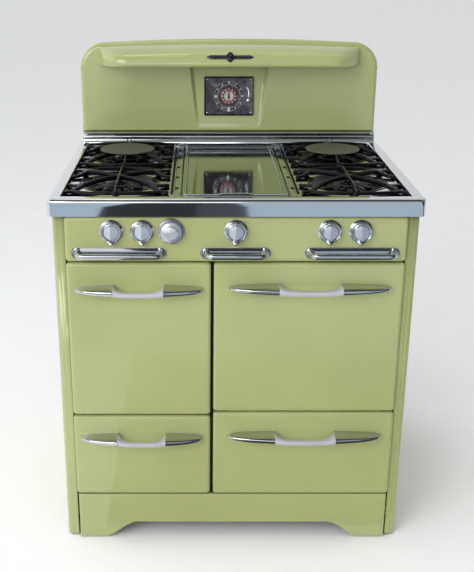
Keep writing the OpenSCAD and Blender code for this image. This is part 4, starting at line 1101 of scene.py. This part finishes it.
# %% [markdown]
# ## Knobs, bezels and guards
#
# A burner knob has three pieces: a chromed skirt in the shape of a drop that points down, a satin face
# inside it, and a narrow blade that crosses the face and ends in the drop's point. A chromed bezel with
# a milled rim stands behind it. Under the knobs a chromed loop keeps hips off.

# %% Knob
KNOB_R = 22.0  # the CAD knob's round top, which tells where its shaft is
SKIRT_R, SATIN_R, KNOB_FRONT = 24.5, 17.6, -13.0


def drop_outline(r, tip, n=96):
    """A circle of radius r whose lower side runs straight to a point at distance tip, as (n, 2)."""
    t = np.linspace(0, 2 * np.pi, n, endpoint=False) - np.pi / 2
    from_tip = np.abs((t + np.pi / 2 + np.pi) % (2 * np.pi) - np.pi)
    touch = math.acos(r / tip)
    reach = np.where(from_tip < touch, r / np.cos(touch - from_tip), r)
    reach = np.minimum(reach, tip * 0.985)
    return np.stack([reach * np.cos(t), reach * np.sin(t)], -1)


def knob_skirt(cx, cz, r, tip, front):
    """The chromed skirt: drop-shaped rings that rise to a round crest and fall into a groove."""
    rings = []
    for scale, depth in [(1.0, 17.4), (1.0, 9.0), (0.99, 7.0), (0.965, 5.2), (0.93, 4.1), (0.89, 3.9),
                         (0.85, 4.6), (0.81, 6.2), (0.77, 8.6), (0.70, 8.8)]:
        ring = drop_outline(r * scale, max(tip * (1 - (1 - scale) * 0.9), r * scale * 1.04))
        rings.append(at(cx + ring[:, 0], front + depth, cz + ring[:, 1]))
    return skin(np.array(rings))


def knob_face(cx, cz, r, front):
    """The satin face: a disc whose two halves fall away from the middle, with a rounded rim."""
    t = np.linspace(0, 2 * np.pi, 72, endpoint=False)
    rings = []
    for share, depth in [(1.0, 9.0), (1.0, 5.2), (0.985, 4.5), (0.95, 4.1), (0.85, 4.0), (0.65, 3.9),
                         (0.4, 3.8), (0.15, 3.8)]:
        x, z = r * share * np.cos(t), r * share * np.sin(t)
        fall = (1.0 - 4.6 * (1 - np.abs(x) / r)) * (depth < 4.3)
        rings.append(at(cx + x, front + depth + fall, cz + z))
    return skin(np.array(rings))


def knob_ridge(cx, cz, r, tip, front):
    """The ridge: a narrow blade from the top of the face to the point of the drop."""
    s = np.linspace(0, 1, 40)
    z = cz + r * 0.76 - (r * 0.76 + tip * 0.985) * s
    wide = np.interp(s, [0, 0.05, 0.6, 0.85, 1], [1.2, 2.8, 3.2, 2.6, 0.5])
    proud = np.interp(s, [0, 0.05, 0.5, 0.85, 1], [0.5, 3.6, 4.2, 2.6, -4.0])
    blade = np.array([(-1, -1), (-0.86, -0.3), (-0.12, 0.97), (0, 1.0), (0.12, 0.97), (0.86, -0.3),
                      (1, -1)])
    x = cx + blade[None, :, 0] * wide[:, None]
    out = np.where(blade[None, :, 1] < 0, blade[None, :, 1] * 5.0, blade[None, :, 1] * proud[:, None])
    return skin(at(x, front + 3.6 - out, z[:, None]))


def milled(t):
    """A milled rim: forty-eight shallow waves round the circle."""
    return 1 + 0.006 * np.cos(48 * t)


def bezel_ring(cx, cz, r):
    """A stepped chromed ring with a milled edge."""
    profile = [(r - 9, -1.2), (r - 8, 0.8), (r - 5, 2.6), (r - 3, 4.6), (r - 1.4, 5.0), (r - 0.3, 4.2),
               (r, 2.8), (r, 0), (r - 9, 0)]
    return turned([(0, -1.0)] + profile, (cx, FACE_Y, cz), (0, -1, 0), sides=144, wave=milled)


bezels = []
for n in range(1, 6):
    node = f"knob_{n}"
    x0, x1, y0, y1, z0, z1 = span(node)
    cx, cz = (x0 + x1) / 2, z1 - KNOB_R
    bezels.append(bezel_ring(cx, cz, 29))
    tip = cz - z0
    skirt = knob_skirt(cx, cz, SKIRT_R, tip, KNOB_FRONT)
    make(node + "_skirt", skirt, bright_chrome, node, node)
    make(node + "_face", knob_face(cx, cz, SATIN_R, KNOB_FRONT), satin_chrome, node)
    make(node + "_ridge", knob_ridge(cx, cz, SKIRT_R, tip, KNOB_FRONT), bright_chrome, node)

# %% Thermostat
x0, x1, y0, y1, z0, z1 = span("thermostat_knob")
cx, cz, r = (x0 + x1) / 2, (z0 + z1) / 2, (x1 - x0) / 2
bezels.append(bezel_ring(cx, cz, 32))
disc = turned([(0, 14.0), (16.5, 14.0), (17.2, 13.4), (18.2, 13.0), (24.0, 12.4), (25.6, 11.2), (26, 9.5),
               (26, -5.4), (0, -5.4)],
              (cx, 0, cz), (0, -1, 0), sides=120)
FAN_LOW, FAN_R = 2.2, 15.0
half_ring = np.concatenate([arc(0, FAN_LOW, FAN_R, 4, 176, 24),
                            [(-FAN_R, FAN_LOW + 0.8), (FAN_R, FAN_LOW + 0.8)]])
fan = []
for scale, deep in [(1.0, 12.6), (1.0, 20.2), (0.97, 21.4), (0.9, 21.9)]:
    height = cz + FAN_LOW + (half_ring[:, 1] - FAN_LOW) * scale + 1.0
    fan.append(at(cx + half_ring[:, 0] * scale, -deep, height))
knob = join(disc, skin(np.array(fan)))
make("thermostat_disc", knob, satin_chrome, "thermostat_knob", "thermostat_knob")
marks = []
for k in range(21):
    a = math.radians(120 - 12 * k + 90)
    c, s = math.cos(a), math.sin(a)
    end = 23.2 if k % 2 == 0 else 21.6
    flat = np.array([(-0.35, 19.5), (0.35, 19.5), (0.35, end), (-0.35, end)])
    x, w = flat[:, 0] * s + flat[:, 1] * c, -flat[:, 0] * c + flat[:, 1] * s
    marks.append(skin(np.array([at(cx + x, -12.5, cz + w), at(cx + x, -13.25, cz + w)])))
make("thermostat_marks", join(*marks), black_ink_and_shade, "thermostat_knob")
make("bezel_set", join(*bezels), bright_chrome, "chassis", "knob_bezels")

# %% Knob guards
def guard_shape(cx, cz, half):
    """A stadium-shaped plate with a raised border, two bosses, and a loop that stands out of it."""
    tall = 15.0
    rings = []
    for inset, h in [(0, 0), (0, 1.2), (0.6, 2.0), (1.6, 2.2), (2.6, 1.9), (3.4, 1.3), (14.5, 1.2)]:
        ring = rounded_rect(cx - half + inset, cx + half - inset, cz - tall + inset, cz + tall - inset,
                            tall - inset, 14)
        rings.append(at(ring[:, 0], FACE_Y - h, ring[:, 1]))
    base = skin(np.array(rings))
    out, corner, end = 29.5, 17.0, half - 15
    left = [(-end, FACE_Y), (-end, FACE_Y - out + corner)]
    bend = arc(-end + corner, FACE_Y - out + corner, corner, 180, 270, 10)[1:]
    half_path = np.concatenate([left, bend])
    path = np.concatenate([half_path, half_path[::-1] * [-1, 1]])
    path = np.stack([cx + path[:, 0], path[:, 1], cz - 1.0 + 0 * path[:, 0]], -1)
    rail = drawn(path, 5.4, 7.4, sides=24, power=2.2)
    boss = [(0, 4.2), (7.4, 4.0), (8.8, 2.8), (9.2, 0.8), (9.2, 0)]
    bosses = [turned(boss, (cx + s * end, FACE_Y - 1.2, cz), (0, -1, 0), 40) for s in (-1, 1)]
    return join(base, rail, *bosses)


gx0, gx1, _, _, gz0, gz1 = span("knob_guards")
GUARD_Z = (gz0 + gz1) / 2
guards = [guard_shape(x, GUARD_Z, half) for x, half in ((gx0 + 117, 117), (0, 87), (gx1 - 117, 117))]
make("guard_set", join(*guards), chrome, "chassis", "knob_guards")
print("controls done")

# %% [markdown]
# ## Inside and behind
#
# The CAD solids are already the right shape for what hides inside: liners, racks, pipes and frames.
# They keep their meshes and only take a finish, by the material slot that the record gives each one; the
# front and base frames instead take a near-black finish that paints the shade in the gaps between the fronts.

# %% Finishes for the CAD's own solids
FINISH_OF_SLOT = {"enamel": enamel, "chrome": chrome, "black_iron": iron, "steel": bare_steel,
                  "liner_enamel": speckled, "brass": brass, "dial_red": dial_red, "hand_black": black_ink_and_shade,
                  "disc_enamel": cover_enamel}
# Painted shade: the front and base frames get near black in place of their own finish, so the gaps between doors
# and drawers look dark.
SHADE_PAINTED_FRAMES = {"front_frame": frame_shade_black, "base_frame": frame_shade_black}
subparts = frame["record"]["subparts"]
for part in subparts:
    solid = frame["nodes"][part["node"]]
    solid.data.materials.clear()
    solid.data.materials.append(SHADE_PAINTED_FRAMES.get(part["node"], FINISH_OF_SLOT[part["material_slot"]]))
print("CAD solids given a finish:", len(subparts))

# %% [markdown]
# ## Studio
#
# The range stands on a pale floor under soft light from above and the left. The camera looks slightly
# down on it from a little left of the middle. Glowing dark and tinted cards that only reflections see
# paint reflections into the chrome, as a studio's flags give a mirror something to show.

# %% Floor, light and camera
def stage_plane(name, corners, finish_of):
    """A flat rectangle that belongs to the studio and not to the range."""
    mesh = bpy.data.meshes.new(name)
    mesh.from_pydata([list(c) for c in corners], [], [[0, 1, 2, 3]])
    mesh.materials.append(finish_of)
    plane = bpy.data.objects.new(name, mesh)
    bpy.context.scene.collection.objects.link(plane)
    return plane


def on_floor(x0, x1, y0, y1, z):
    """Corners of a level rectangle."""
    return [(x0, y0, z), (x1, y0, z), (x1, y1, z), (x0, y1, z)]


pale = finish("pale_floor", (0.95, 0.95, 0.95), rough=0.9, drift=0.01, spec=0.1)
FLOOR_REACH = 80.0
stage_plane("floor", on_floor(-FLOOR_REACH, FLOOR_REACH, -FLOOR_REACH, FLOOR_REACH, -0.001), pale)


def flag(name, corners, glow):
    """A card that glows an even colour and that only reflections see, painting a reflection into the chrome, as a
    photographer hangs a card beside a mirror.
    """
    paint = finish(name + "_paint", (0.01, 0.01, 0.01), rough=0.9, spec=0.0)
    shader = paint.node_tree.nodes["Principled BSDF"]
    shader.inputs["Emission Color"].default_value = (*glow, 1)
    shader.inputs["Emission Strength"].default_value = 1.0
    card = stage_plane(name, corners, paint)
    card.visible_camera = False
    card.visible_diffuse = False
    card.visible_shadow = False
    return card


# Painted reflections: these glowing cards put a blue-grey yard and a dark patch into the band, and darker sky,
# floor and side into the chrome above, near and to the right.
flag("yard_flag", on_floor(-6.0, 6.0, -9.0, -1.6, 0.003), (0.44, 0.55, 0.64))
flag("dark_flag", on_floor(-0.90, -0.17, -9.0, -2.2, 0.006), (0.020, 0.022, 0.028))
flag("dusk_flag", on_floor(-0.17, 0.22, -9.0, -2.2, 0.006), (0.055, 0.060, 0.070))
flag("roof_flag", on_floor(-5.0, 5.0, -4.0, -0.3, 3.6), (0.05, 0.052, 0.06))
flag("near_flag", on_floor(-0.35, 5.0, -1.6, -0.40, 0.004), (0.05, 0.052, 0.055))
flag("front_flag", [(-5, -5.5, 1.3), (5, -5.5, 1.3), (5, -5.5, 4.6), (-5, -5.5, 4.6)], (0.30, 0.32, 0.32))
flag("side_flag", [(3.4, -6.0, 0.1), (3.4, -0.4, 0.1), (3.4, -0.4, 2.6), (3.4, -6.0, 2.6)],
     (0.05, 0.052, 0.06))
world = bpy.data.worlds.new("studio")
bpy.context.scene.world = world
world.use_nodes = True
sky, air = world.node_tree.nodes, world.node_tree.links.new
air_place = sky.new("ShaderNodeTexCoord")
air_split = sky.new("ShaderNodeSeparateXYZ")
air(air_place.outputs["Generated"], air_split.inputs["Vector"])
height = sky.new("ShaderNodeValToRGB")
air(air_split.outputs["Z"], height.inputs["Fac"])
stops = height.color_ramp.elements
stops[0].position, stops[0].color = 0.0, (1.0, 1.0, 1.0, 1)
stops[1].position, stops[1].color = 1.0, (0.84, 0.85, 0.86, 1)
middle = stops.new(0.35)
middle.color = (0.92, 0.93, 0.94, 1)
LEFT_GLOW, RIGHT_GLOW = 1.25, 0.42
side_ramp = remap(world.node_tree, air_split.outputs["X"], -1.0, 1.0, LEFT_GLOW, RIGHT_GLOW)
air(height.outputs["Color"], sky["Background"].inputs["Color"])
air(side_ramp, sky["Background"].inputs["Strength"])


def soft_light(name, place, target, size, power):
    """A square area light at a place, facing a target."""
    lamp_data = bpy.data.lights.new(name, "AREA")
    lamp_data.size = size
    lamp_data.energy = power
    lamp_obj = bpy.data.objects.new(name, lamp_data)
    bpy.context.scene.collection.objects.link(lamp_obj)
    look = np.array(target, float) - np.array(place, float)
    pitch = math.atan2(math.hypot(look[0], look[1]), -look[2])
    lamp_obj.rotation_euler = (pitch, 0, math.atan2(-look[0], look[1]))
    lamp_obj.location = place


soft_light("key", (-3.0, -4.2, 2.8), (0, 0, 0.7), 3.0, 125)
soft_light("front", (-0.9, -5.6, 1.9), (0, 0, 1.0), 2.4, 45)
soft_light("top", (-0.6, -0.8, 4.6), (0, 0, 0.9), 1.6, 25)

FOCAL, SHIFT, SENSOR = 978 / 572, (0.066, 0.034), 36
CAMERA_AT, CAMERA_PITCH = (-89.4, -2276.2, 1537.7), 20.62
camera_data = bpy.data.cameras.new("camera")
camera_data.sensor_width = SENSOR
camera_data.lens = FOCAL * SENSOR
camera_data.shift_x, camera_data.shift_y = SHIFT
camera = bpy.data.objects.new("camera", camera_data)
bpy.context.scene.collection.objects.link(camera)
camera.location = at(*CAMERA_AT)
camera.rotation_euler = (math.radians(90 - CAMERA_PITCH), 0, 0)
bpy.context.scene.camera = camera
bpy.context.scene.view_settings.view_transform = "Standard"
